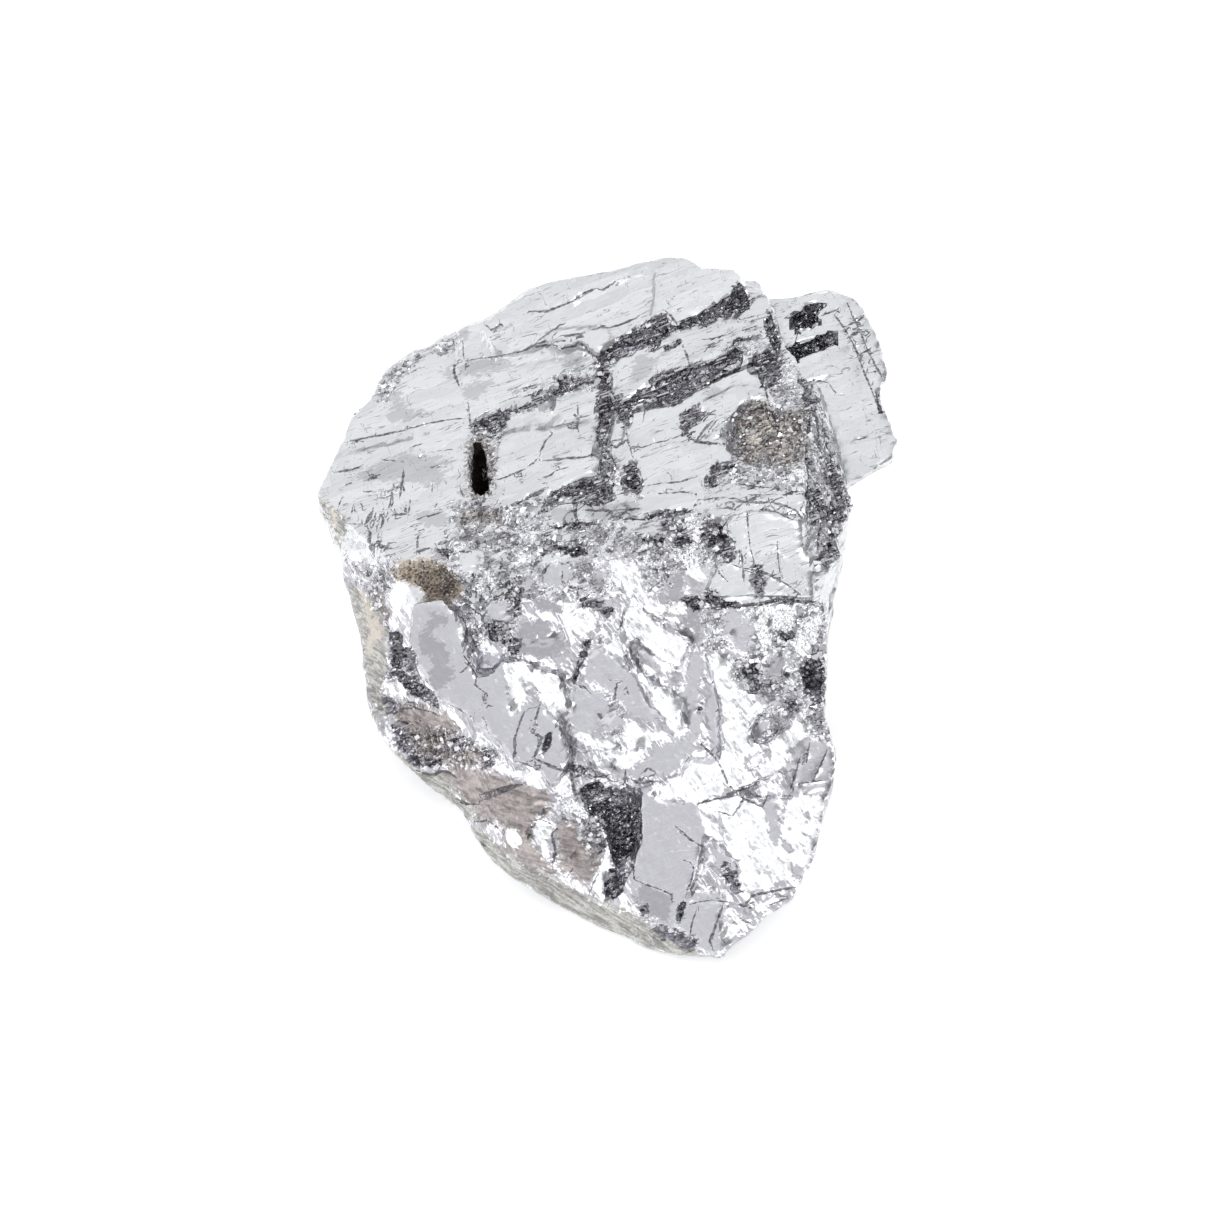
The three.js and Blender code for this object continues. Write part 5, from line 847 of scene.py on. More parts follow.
# adds a node, sets its fields, and fills its inputs, by order or by name, with values or links
def addNode(tree, kind, settings=None, inputs=()):
    node = tree.nodes.new("ShaderNode" + kind)
    for key, value in (settings or {}).items():
        setattr(node, key, value)
    for key, value in (inputs.items() if isinstance(inputs, dict) else enumerate(inputs)):
        if isinstance(value, bpy.types.NodeSocket):
            tree.links.new(value, node.inputs[key])
        else:
            node.inputs[key].default_value = value
    return node.outputs


def newMaterial(name):
    material = bpy.data.materials.new(name)
    material.use_nodes = True
    material.node_tree.nodes.clear()
    return material, material.node_tree


# settings that many nodes share
times = {"operation": "MULTIPLY"}
over = {"operation": "DIVIDE"}
plus = {"operation": "ADD"}
minus = {"operation": "SUBTRACT"}
timesPlus = {"operation": "MULTIPLY_ADD"}
power = {"operation": "POWER"}
larger = {"operation": "MAXIMUM"}
smaller = {"operation": "MINIMUM"}
unsigned = {"operation": "ABSOLUTE"}
scaled = {"operation": "SCALE"}
smooth = {"interpolation_type": "SMOOTHSTEP"}
tinted = {"data_type": "RGBA"}


galena = {
    "leadGrey": "d8d9db",  # the upper faces' cleavage, cool, painted brighter than the lower faces: painted light
    "shadedVioletGrey": "c0bfc4",  # the lower faces, a little violet, painted darker than the upper ones: painted shade
    "crushedGrey": "cbcacf",  # ground of small broken crystals
    "tornGrey": "827f86",  # torn ground between the laths, its darkness partly painted shade
    "darkGrey": "706f74",  # painted shade of sunk and shadowed places
    "jointGrey": "4a494e",  # joints between laths
    "gapBrown": "1f1b19",  # painted shade of the deepest pits, the slot
    # painted reflection: base colour of the bright feathers
    "paintedFlashWhite": "fbfbfd",
    "limoniteDark": "463a30",
    "limoniteTan": "d3bfa8",
    # the limonite's darkest bits: dark brown, and partly painted shade
    "umber": "3a2c22",
    "rustDark": "5c5753",
    "rustPink": "c3bab4",
    "roseDark": "6f6662",
    "rosePale": "b3aaa6",
    "rindOlive": "9a9792",
    "rindPale": "d8d7d2",
    "rindCream": "dfd6cb",
    # pattern axes in the face frame: along the laths or feathers, then out of the face
    "axes": {
        "laths": ((0.94, 0.342, 0.111), (-0.34, 0.61, 1)),
        "feathers": ((0.62, -0.78, 0.0), (-0.1, -0.22, 1)),
        "rind": ((0.86, -0.51, 0.0), (0, 0, 1)),
        "rose": ((0.97, -0.22, 0.0), (0, 0, 1)),
    },
    "bends": ((0.22, 1.2, 2.0), (2.5, 0.137, 1.0)),  # waves for each mm, sway in mm, detail
    # cells: which axes, size in mm along, across and out of the face, and how uneven
    "cells": {
        "lath": ("laths", (7.0, 1.3, 1.6), 0.6),
        "splinter": ("laths", (1.7, 0.34, 0.5), 0.55),
        "sliver": ("laths", (1.1, 0.13, 0.3), 0.7),
        "feather": ("feathers", (2.0, 0.7, 1.2), 0.7),
        "chip": ("feathers", (0.5, 0.26, 0.4), 0.8),
        "grain": ("laths", (0.3, 0.26, 0.3), 1.0),
        "lump": ("laths", (0.9, 0.7, 0.8), 1.0),
        "facet": ("feathers", (1.7, 0.9, 1.2), 0.9),
    },
    # clouds: which axes, size in mm, detail
    "clouds": {
        "fine": ("laths", (0.5, 0.22, 0.3), 5.0),
        "patchy": ("laths", (2.4, 1.2, 1.2), 4.0),
        "broad": ("laths", (12.0, 6.0, 6.0), 2.0),
        "along": ("laths", (11.0, 0.9, 1.5), 2.5),
        "alongPatch": ("laths", (3.0, 1.4, 2.0), 2.0),
        "across": ("laths", (0.9, 5.0, 1.5), 2.5),
        "acrossPatch": ("laths", (1.2, 2.6, 2.0), 2.0),
        "dash": ("laths", (1.5, 0.15, 0.6), 1.5),
        "tick": ("laths", (0.15, 1.0, 0.6), 1.5),
        "featherStreak": ("feathers", (2.6, 0.32, 1.0), 3.0),
        "rindStreak": ("rind", (4.0, 0.3, 1.0), 4.0),
        "roseStreak": ("rose", (5.0, 0.5, 1.0), 4.0),
    },
    "shardSize": (3.2, 0.9, 1.5),  # mm, of the shards whose bright rims, painted highlights, cross the lower faces
    # mixed patterns: the second one's share, then the two
    "mixes": {
        "featherMix": (0.5, "feather", "chip"),
        "glitter": (0.35, "grain", "lump"),
        "streaky": (0.5, "grain", "sliver"),
        "mottled": (0.5, "patchy", "grain"),
        "shardMix": (0.5, "featherStreak", "feather"),
    },
    # edges: softness in mm, then the pattern that frays it and by how many mm, and the same for fine noise
    "edges": {
        "lower": (0.4, "splinter", 0.0, 0.0),
        "flash": (0.03, "shardMix", 1.05, 0.25),
        "torn": (0.06, "splinter", 0.7, 0.9),
        "dark": (0.05, "splinter", 0.3, 0.8),
        "pit": (0.08, "splinter", 0.0, 0.2),
        "crack": (0.03, "splinter", 0.12, 0.16),
        "rust": (0.5, "patchy", 2.0, 3.0),
        "limonite": (0.2, "grain", 0.6, 2.2),
        "umber": (0.3, "grain", 0.6, 2.0),
        "rose": (0.4, "splinter", 0.9, 2.2),
        "rind": (0.3, "splinter", 0.9, 2.0),
        "cream": (0.15, "grain", 0.3, 1.0),
        "grey": (0.06, "chip", 0.5, 0.6),
        "shade": (0.1, "splinter", 0.6, 1.5),
        "crushed": (0.25, "splinter", 1.2, 2.4),
        "hidden": (0.5, "splinter", 0.0, 0.0),
    },
    "cloudRoughness": 0.6,
    "flashCap": 0.3,  # mm, the most that depth in a bright feather counts, so that it frays inside too
    "crackReach": 0.25,  # mm past a joint's edge where its exact distance is still trusted
    "quietShare": 0.95,  # share of the glitter that grey and shaded patches lose
    # fine lines: half their width as a share of the noise, and the least of their patches' noise
    "lines": {"along": (0.012, 0.5), "across": (0.009, 0.56)},
    "lineCore": 0.35,  # share of the half width that is fully dark
    "patchFade": 0.06,  # how far past that least a patch shows fully
    "dashes": {"dash": 0.66, "tick": 0.7},  # least of the noise that shows as a dash
    "dashFade": 0.05,  # how far past it a dash is fully dark
    "linesLess": {"grey": -0.8, "flash": -0.7},  # few of them on the grey faces and the bright feathers
    # the tone of the upper faces: its patterns and their shares
    "toneShares": {"splinter": 0.25, "lath": 0.45, "patchy": 0.5},
    "hiddenShares": (0.6, 1.5),  # out of sight, of that tone and of the broad pattern; darker overall there, painted shade
    "lowerContrast": 1.5,  # power that the lower faces' tone is raised to
    "quietFlecks": -0.7,  # how much fewer flecks show in quiet patches
    "glintTone": 0.9,  # how much brighter the painted glints, flecks and rims, are
    "shadeTone": -0.26,  # how much darker the shaded patches are
    # what a pattern's range becomes, each as from low, from high, to low, to high
    "ranges": {
        "upperTone": (0.0, 1.0, 0.82, 1.08),
        "hiddenTone": (0.75, 1.5, 0.34, 0.98),
        "lowerTone": (0.0, 1.0, 0.74, 1.25),
        "glint": (0.62, 0.66, 0.0, 1.0),
        "fleck": (0.93, 0.95, 0.0, 1.0),
        "fleckPatch": (0.45, 0.62, 0.0, 1.0),
        "shard": (0.06, 0.03, 0.0, 1.0),
        "shardPatch": (0.45, 0.55, 0.0, 1.0),
        "dashPatch": (0.4, 0.55, 0.0, 1.0),
        "wholeFacet": (0.5, 0.56, 0.0, 0.85),
        "facetTone": (0.0, 1.0, 0.35, 1.45),
        "sparklePatch": (0.3, 0.7, 0.62, 1.5),
        "flashTone": (0.12, 0.36, 0.55, 1.0),
        "grit": (0.0, 1.0, 0.78, 1.12),
        "jointShare": (0.35, 0.6, 0.5, 0.95),
    },
    # broken ground: its grey, its grains, how sharply they sparkle as painted glitter, and the tone at least
    # and at most
    "broken": {
        "crushed": ("crushedGrey", "glitter", 2.0, 0.42, 2.2),
        "torn": ("tornGrey", "streaky", 2.3, 0.66, 3.0),
        "dark": ("darkGrey", "streaky", 3.5, 0.7, 6.0),
    },
    # films, ochre and rind: two colours, the pattern that mixes them, and its range from and to
    "films": {
        "rust": ("rustDark", "rustPink", "mottled", 0.25, 0.75),
        "rose": ("roseDark", "rosePale", "roseStreak", 0.3, 0.66),
        "rind": ("rindOlive", "rindPale", "rindStreak", 0.37, 0.63),
        "limonite": ("limoniteDark", "limoniteTan", "fine", 0.36, 0.6),
    },
    # ground of one colour
    "plain": {
        "umber": "umber", "cream": "rindCream", "lines": "tornGrey", "crack": "jointGrey", "pit": "gapBrown",
    },
    # what lies over what, from the lowest, and how much of it shows
    "layers": {
        "crushed": 0.92, "flash": 1.0, "rust": 0.78, "rose": 1.0, "rind": 1.0, "limonite": 1.0,
        "umber": 0.85, "cream": 0.85, "torn": 1.0, "lines": 0.75, "crack": 1.0, "dark": 1.0, "pit": 1.0,
    },
    "roseShare": 0.9,  # how much of the rosy film shows, less where a bright feather is
    "roughness": 0.24,
    "roughnessMore": {"torn": 0.12, "rose": 0.15, "stonyAndSlotShade": 0.4, "flash": -0.06},
    "stonyAndSlotShadeMetal": -0.95,  # earthy ground is no metal, and neither is the slot's painted shade
    "pitGloss": -0.45,  # no gloss in the slot: painted shade
    # how far laths, feathers and grains lean their own way, as a share of the normal
    "lathLean": 0.02,
    "featherLean": 0.05,
    "grainLean": 0.7,
    "edgeHeight": 0.4,  # a splinter's own height, as a share of a lath's
    "crackHeight": -1.2,  # a joint's, in the same way
    "lathBump": (0.4, 0.00005),  # strength, and depth in m
    # strength on clean faces, how much more in broken ground, and depth in m
    "grainBump": (0.024, 0.8, 0.00016),
}


# pattern axes as a Mapping turn: x along the laths or feathers, z out of the face
def patternTurn(along, out):
    along, out = unit(np.array([along, out]))
    axes = np.stack([along, np.cross(out, along), out])
    return tuple(Matrix((axes @ faceToRow.T).tolist()).to_euler())


# every pattern by name, and of the cells also each one's random colour and the distance to its middle
def galenaPatterns(add):
    place = add("TexCoord")["Object"]
    spots = {}
    for name, (along, out) in galena["axes"].items():
        inputs = {"Vector": place, "Rotation": patternTurn(along, out), "Scale": (1000, 1000, 1000)}
        spots[name] = add("Mapping", None, inputs)[0]  # in mm
    # the laths bend a little and their edges waver
    for scale, sway, detail in galena["bends"]:
        bend = add("TexNoise", None, {"Vector": spots["laths"], "Scale": scale, "Detail": detail})["Color"]
        bend = add("VectorMath", minus, [bend, (0.5, 0.5, 0.5)])[0]
        bend = add("VectorMath", scaled, {0: bend, "Scale": sway})[0]
        for name in spots:
            spots[name] = add("VectorMath", plus, [spots[name], bend])[0]

    pattern, colours, bulge = {}, {}, {}
    for name, (axes, cell, uneven) in galena["cells"].items():
        spot = add("VectorMath", over, [spots[axes], cell])[0]
        inputs = {"Vector": spot, "Scale": 1.0, "Randomness": uneven}
        cells = add("TexVoronoi", {"distance": "CHEBYCHEV"}, inputs)
        colours[name], bulge[name] = cells["Color"], cells["Distance"]
        pattern[name] = add("SeparateColor", None, [cells["Color"]])[0]
    for name, (axes, cell, detail) in galena["clouds"].items():
        spot = add("VectorMath", over, [spots[axes], cell])[0]
        inputs = {"Vector": spot, "Scale": 1.0, "Detail": detail, "Roughness": galena["cloudRoughness"]}
        pattern[name] = add("TexNoise", None, inputs)["Fac"]
    spot = add("VectorMath", over, [spots["feathers"], galena["shardSize"]])[0]
    shards = add("TexVoronoi", {"feature": "DISTANCE_TO_EDGE"}, {"Vector": spot, "Scale": 1.0})
    pattern["shard"] = shards[0]
    for name, (share, first, second) in galena["mixes"].items():
        pattern[name] = add("Mix", None, {0: share, 2: pattern[first], 3: pattern[second]})[0]
    return pattern, colours, bulge


# a mask for each kind of ground: its depth, with the edge frayed by a pattern and by fine noise
def galenaMasks(add, pattern):
    mask = {}
    for name, (softness, fray, frayShare, fineShare) in galena["edges"].items():
        depth = add("Attribute", {"attribute_name": name + "Depth"})["Fac"]
        if name == "crack":
            # the side-signed distance keeps a line sharp between far-apart vertices
            near = add("Math", plus, [depth, galena["crackReach"]])[0]
            aside = add("Attribute", {"attribute_name": "crackAside"})["Fac"]
            half = add("Attribute", {"attribute_name": "crackHalf"})["Fac"]
            within = add("Math", minus, [half, add("Math", unsigned, [aside])[0]])[0]
            depth = add("Math", smaller, [near, within])[0]
        if name == "flash":
            depth = add("Math", smaller, [depth, galena["flashCap"]])[0]
        for noise, share in ((pattern[fray], frayShare), (pattern["fine"], fineShare)):
            swing = add("Math", minus, [noise, 0.5])[0]
            depth = add("Math", timesPlus, [swing, share, depth])[0]
        mask[name] = add("MapRange", smooth, [depth, -softness, softness])[0]
    mask["quiet"] = add("Math", larger, [mask["grey"], mask["shade"]])[0]
    # how much glitter is left where the ground is quiet
    mask["calm"] = add("Math", timesPlus, [mask["quiet"], -galena["quietShare"], 1.0])[0]
    # rind and limonite, which are stony and no metal, and the slot, painted as shade
    mask["stonyAndSlotShade"] = add("Math", larger, [mask["rind"], mask["limonite"]])[0]
    mask["stonyAndSlotShade"] = add("Math", larger, [mask["stonyAndSlotShade"], mask["pit"]])[0]
    mask["broken"] = add("Math", larger, [mask["torn"], mask["crushed"]])[0]
    for other in ("stonyAndSlotShade", "rust", "dark"):
        mask["broken"] = add("Math", larger, [mask["broken"], mask[other]])[0]
    outsidePit = add("Math", timesPlus, [mask["pit"], -1.0, 1.0])[0]
    mask["broken"] = add("Math", times, [mask["broken"], outsidePit])[0]
    return mask


# fine dark lines, where stretched noise crosses its middle value on parts of the face only, and short
# dashes along the laths, fewer across them
def fineLines(add, pattern, mask):
    lines = 0.0
    for name, (width, least) in galena["lines"].items():
        level = add("Math", minus, [pattern[name], 0.5])[0]
        level = add("Math", unsigned, [level])[0]
        line = add("MapRange", smooth, [level, width, width * galena["lineCore"]])[0]
        whole = least + galena["patchFade"]
        patch = add("MapRange", smooth, [pattern[name + "Patch"], least, whole])[0]
        lines = add("Math", larger, [lines, add("Math", times, [line, patch])[0]])[0]
    dashPatch = add("MapRange", smooth, [pattern["patchy"], *galena["ranges"]["dashPatch"]])[0]
    for name, least in galena["dashes"].items():
        dash = add("MapRange", smooth, [pattern[name], least, least + galena["dashFade"]])[0]
        lines = add("Math", larger, [lines, add("Math", times, [dash, dashPatch])[0]])[0]
    for name, share in galena["linesLess"].items():
        left = add("Math", timesPlus, [mask[name], share, 1.0])[0]
        lines = add("Math", times, [lines, left])[0]
    return lines


# colour of the clean faces: each lath and splinter has a tone a little its own; the upper faces are painted
# a brighter grey than the lower ones, painted light and shade; and below there are painted glints as well,
# bright flecks and rims of shards
def cleanColour(add, pattern, mask):
    ranges = galena["ranges"]
    tone = 0.0
    for name, share in galena["toneShares"].items():
        tone = add("Math", timesPlus, [pattern[name], share, tone])[0]
    upperTone = add("MapRange", None, [tone, *ranges["upperTone"]])[0]
    # out of sight the faces are painted darker, as painted shade, and blotchy by the broad pattern
    ownShare, broadShare = galena["hiddenShares"]
    hiddenTone = add("Math", times, [tone, ownShare])[0]
    hiddenTone = add("Math", timesPlus, [pattern["broad"], broadShare, hiddenTone])[0]
    hiddenTone = add("MapRange", None, [hiddenTone, *ranges["hiddenTone"]])[0]
    upperTone = add("Mix", None, {0: mask["hidden"], 2: upperTone, 3: hiddenTone})[0]

    lowerTone = add("MapRange", None, [pattern["featherMix"], *ranges["lowerTone"]])[0]
    contrast = add("Math", times, [mask["calm"], galena["lowerContrast"]])[0]
    lowerTone = add("Math", power, [lowerTone, contrast])[0]
    # painted glints on the lower faces: bright feather cells, flecks and the rims of shards
    glint = add("MapRange", smooth, [pattern["featherMix"], *ranges["glint"]])[0]
    glint = add("Math", times, [glint, mask["calm"]])[0]
    fleck = add("MapRange", smooth, [pattern["chip"], *ranges["fleck"]])[0]
    for share in (add("Math", timesPlus, [mask["quiet"], galena["quietFlecks"], 1.0])[0],
                  add("MapRange", smooth, [pattern["patchy"], *ranges["fleckPatch"]])[0]):
        fleck = add("Math", times, [fleck, share])[0]
    shard = add("MapRange", smooth, [pattern["shard"], *ranges["shard"]])[0]
    for share in (add("MapRange", smooth, [pattern["alongPatch"], *ranges["shardPatch"]])[0], mask["calm"]):
        shard = add("Math", times, [shard, share])[0]
    for bright in (fleck, shard):
        glint = add("Math", larger, [glint, bright])[0]
    lowerTone = add("Math", timesPlus, [glint, galena["glintTone"], lowerTone])[0]

    # painted light and shade: the upper faces get a brighter grey than the lower ones
    upper = add("VectorMath", scaled, {0: linear(galena["leadGrey"])[:3], "Scale": upperTone})[0]
    lower = add("VectorMath", scaled, {0: linear(galena["shadedVioletGrey"])[:3], "Scale": lowerTone})[0]
    colour = add("Mix", tinted, {0: mask["lower"], 6: upper, 7: lower})[2]
    shadeTone = add("Math", timesPlus, [mask["shade"], galena["shadeTone"], 1.0])[0]
    return add("VectorMath", scaled, {0: colour, "Scale": shadeTone})[0]


# colours of the other kinds of ground
def groundColours(add, pattern, colours):
    ranges = galena["ranges"]
    ground = {}
    # broken ground: one grey, from dull to glittering by its grains, a painted glitter
    for name, (grey, grains, sharpness, least, most) in galena["broken"].items():
        sparkle = add("Math", power, [pattern[grains], sharpness])[0]
        sparkle = add("MapRange", None, [sparkle, 0.0, 1.0, least, most])[0]
        if name == "crushed":
            # some larger facets in it lie whole, each painted one tone, from painted shade to painted
            # highlight
            whole = add("SeparateColor", None, [colours["facet"]])[1]
            whole = add("MapRange", smooth, [whole, *ranges["wholeFacet"]])[0]
            facetTone = add("MapRange", None, [pattern["facet"], *ranges["facetTone"]])[0]
            sparkle = add("Mix", None, {0: whole, 2: sparkle, 3: facetTone})[0]
        patch = add("MapRange", None, [pattern["patchy"], *ranges["sparklePatch"]])[0]
        sparkle = add("Math", times, [sparkle, patch])[0]
        ground[name] = add("VectorMath", scaled, {0: linear(galena[grey])[:3], "Scale": sparkle})[0]
    # painted reflection: the bright feathers are painted near white, a little uneven by the feathers'
    # pattern
    flashTone = add("MapRange", None, [pattern["featherMix"], *ranges["flashTone"]])[0]
    ground["flash"] = add("VectorMath", scaled, {0: linear(galena["paintedFlashWhite"])[:3], "Scale": flashTone})[0]
    # films, ochre and rind: two colours mixed by a pattern, with grit
    grit = add("MapRange", None, [pattern["grain"], *ranges["grit"]])[0]
    for name, (dark, pale, blend, low, high) in galena["films"].items():
        share = add("MapRange", smooth, [pattern[blend], low, high])[0]
        film = add("Mix", tinted, {0: share, 6: linear(galena[dark]), 7: linear(galena[pale])})[2]
        ground[name] = add("VectorMath", scaled, {0: film, "Scale": grit})[0]
    for name, colour in galena["plain"].items():
        ground[name] = linear(galena[colour])
    return ground


# relief too fine for the mesh: lath edges, splinters, and the crystals of the broken ground, and each
# splinter leans a little its own way, far more so in broken ground
def galenaNormal(add, pattern, colours, bulge, mask):
    edges = add("SeparateColor", None, [colours["splinter"]])[1]
    height = add("Math", timesPlus, [edges, galena["edgeHeight"], pattern["lath"]])[0]
    height = add("Math", timesPlus, [mask["crack"], galena["crackHeight"], height])[0]
    strength, depth = galena["lathBump"]
    lathBump = add("Bump", None, {"Strength": strength, "Distance": depth, "Height": height})[0]
    height = add("Math", plus, [bulge["grain"], pattern["streaky"]])[0]
    least, most, depth = galena["grainBump"]
    strength = add("Math", timesPlus, [mask["broken"], most, least])[0]
    inputs = {"Strength": strength, "Distance": depth, "Height": height, "Normal": lathBump}
    normal = add("Bump", None, inputs)[0]
    lowerCalm = add("Math", times, [mask["lower"], mask["calm"]])[0]
    tilts = {
        "splinter": galena["lathLean"],
        "feather": add("Math", times, [lowerCalm, galena["featherLean"]])[0],
        "grain": add("Math", times, [mask["broken"], galena["grainLean"]])[0],
    }
    for name, tilt in tilts.items():
        sway = add("VectorMath", minus, [colours[name], (0.5, 0.5, 0.5)])[0]
        sway = add("VectorMath", scaled, {0: sway, "Scale": tilt})[0]
        normal = add("VectorMath", plus, [normal, sway])[0]
    return add("VectorMath", {"operation": "NORMALIZE"}, [normal])[0]


# Galena, as it cleaves: a silvery metal that splits into laths and steps, so that a face flashes white or
# lies grey by a few degrees of lean, and torn ground between is dark with small crystals. Much of that is
# painted into the colour: painted reflection on the bright feathers, painted glints, and painted shade on
# the lower faces and in torn and sunk ground.
def galenaMaterial():
    material, tree = newMaterial("cleavedGalena")
    add = partial(addNode, tree)
    pattern, colours, bulge = galenaPatterns(add)
    mask = galenaMasks(add, pattern)
    ground = groundColours(add, pattern, colours)

    # how much of each kind of ground shows: films less on bright feathers, joints unevenly
    shows = dict(mask, lines=fineLines(add, pattern, mask))
    unlit = add("Math", timesPlus, [mask["flash"], -1.0, galena["roseShare"]])[0]
    jointShare = add("MapRange", None, [pattern["fine"], *galena["ranges"]["jointShare"]])[0]
    for name, share in (("rose", unlit), ("crack", jointShare)):
        shows[name] = add("Math", times, [mask[name], share])[0]
    colour = cleanColour(add, pattern, mask)
    for name, share in galena["layers"].items():
        share = add("Math", times, [shows[name], share])[0]
        colour = add("Mix", tinted, {0: share, 6: colour, 7: ground[name]})[2]

    rough = galena["roughness"]
    for name, more in galena["roughnessMore"].items():
        rough = add("Math", timesPlus, [mask[name], more, rough])[0]
    shader = add("BsdfPrincipled", None, {
        "Base Color": colour,
        "Metallic": add("Math", timesPlus, [mask["stonyAndSlotShade"], galena["stonyAndSlotShadeMetal"], 1.0])[0],
        "Roughness": rough,
        "Normal": galenaNormal(add, pattern, colours, bulge, mask),
        "Specular IOR Level": add("Math", timesPlus, [mask["pit"], galena["pitGloss"], 0.5])[0],
    })[0]
    add("OutputMaterial", None, [shader])
    return material


lump = {
    "weldReach": 0.002,  # mm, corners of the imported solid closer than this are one
    "evenPitch": 0.55,  # mm, side of the even quads
    "busyPitch": 0.33,  # mm, longest edge where the ground is torn or cracked
    "plainPitch": 9.0,  # mm, the same elsewhere, so that nothing is cut there
    "cutRounds": 2,
    "smoothAngle": 32.0,  # degrees, sharper edges stay crisp
    # mm inside each kind of ground, from where it counts as busy
    "busyFrom": {"torn": -0.1, "dark": -0.15, "crack": -0.12, "pit": -0.4},
    "evening": (0.5, -0.52, 0.5, -0.52),  # shares of the way to the neighbours' mean, one after another
    "flatBelow": 0.1,  # mm, what lies on the table is kept flat
    "smoothBelow": 0.2,  # mm, what lies lower than this gets no relief
    "shownLean": 0.02,  # least share of its direction that a shown point turns to the viewer
    # steps and roughness come from blocks: height, size along, across and out of the face, and seed, in
    # mm or as a share; the side steps are those of laths out of sight
    "ragged": (0.25, (1.4, 0.35, 0.6), 21),
    "tornBlocks": ((1.0, (1.8, 0.45, 0.6), 12), (0.6, (0.9, 0.33, 0.4), 14)),
    "crystalBlocks": (1.0, (0.6, 0.45, 0.5), 15),
    "crystalWave": (0.7, 0.8, 16),  # height, size, seed
    "lathSteps": (0.07, (6.5, 0.9, 2.0), 17),
    "featherSteps": (0.06, (4.0, 0.8, 2.0), 18),
    "sideSteps": (0.14, (9.0, 2.6, 2.0), 19),
    "staggerSeeds": (22, 23),  # of the shifts across and along the laths
    "faceWave": (0.03, 4.0, 13),  # mm, mm, seed: unevenness of the cleaved faces
    # mm of depth inside each kind of ground, from and to, over which its relief sets in, and the share
    # of the ragged noise in that depth
    "reliefEdges": {
        "torn": (-0.12, 0.12, 1.0),
        "crushed": (-0.4, 0.4, 2.0),
        "dark": (-0.1, 0.12, 0.2),
        "crack": (-0.08, 0.06, 0.0),
        "lower": (-0.5, 0.5, 0.0),
    },
    "tornDrop": 0.3,  # mm, how far torn ground lies below the laths
    "tornRelief": 0.2,  # mm, height of its roughness
    "crushedRelief": 0.12,
    "darkDrop": 0.35,
    "darkRelief": 0.16,
    "crackDrop": 0.07,
    "cracksInTorn": 0.7,  # share of that drop which torn ground takes away
    "slotRim": 11.7,  # mm out along the upper face's normal, just below the slot's rim
    "slotReach": 2.8,  # mm from the slot's outline, as far as its walls lean out
    "slotInside": 0.5,  # mm, depth given to its walls
    "slotBack": -1.0,  # mm out of the face, what lies further back is none of it
    "islandEdge": (-0.3, -1.0),  # mm of depth in a grey face and in bright ground, past which grey wins
    "rimBefore": (-4.0, 0.35, 10.0),  # the rim before it is known: mm out, its fall and from which mm up
    # out of sight, kinds of ground follow slow noise: its two sizes in mm, the first seed, the least
    # noise that counts, and mm of depth for each step past it
    "hiddenTorn": ((7.0, 2.5), 3, 0.5, 1.6),
    "hiddenCrushed": ((9.0, 3.0), 5, 0.65, 2.5),
    "hiddenShade": (5.0, 8, 2.0),  # size in mm, seed, mm of depth
    "hiddenRim": (-6.0, -2.0, 2.0),  # mm out of the face, from and to, over which both fade by so many mm
}
# the smaller crystal behind the right side: mm in the face frame
sideCrystal = {"leftEdge": 16.0, "bottomEdge": 8.0, "front": 3.2, "darkSteepness": 3}
lathAlong, featherAlong = (np.array(galena["axes"][name][0]) for name in ("laths", "feathers"))
upperOut = np.array([-0.279, 0.5, 0.82])  # out of the upper face


# coordinates along a direction, across it within the face, and out of the face
def turned(face, along):
    along = unit(along)
    across = np.array([-along[1], along[0], 0]) / np.hypot(along[0], along[1])
    return np.stack([face @ along, face @ across, face @ np.cross(along, across)], axis=1)


grounds = {
    "lower": lowerOutlines, "flash": flashOutlines, "torn": tornOutlines, "dark": darkOutlines,
    "rust": rustOutlines, "limonite": limoniteOutlines, "rose": roseOutlines, "rind": rindOutlines,
    "umber": umberAndShadeOutlines, "cream": creamOutlines, "grey": greyOutlines, "shade": shadeOutlines,
    "crushed": crushedOutlines,
}


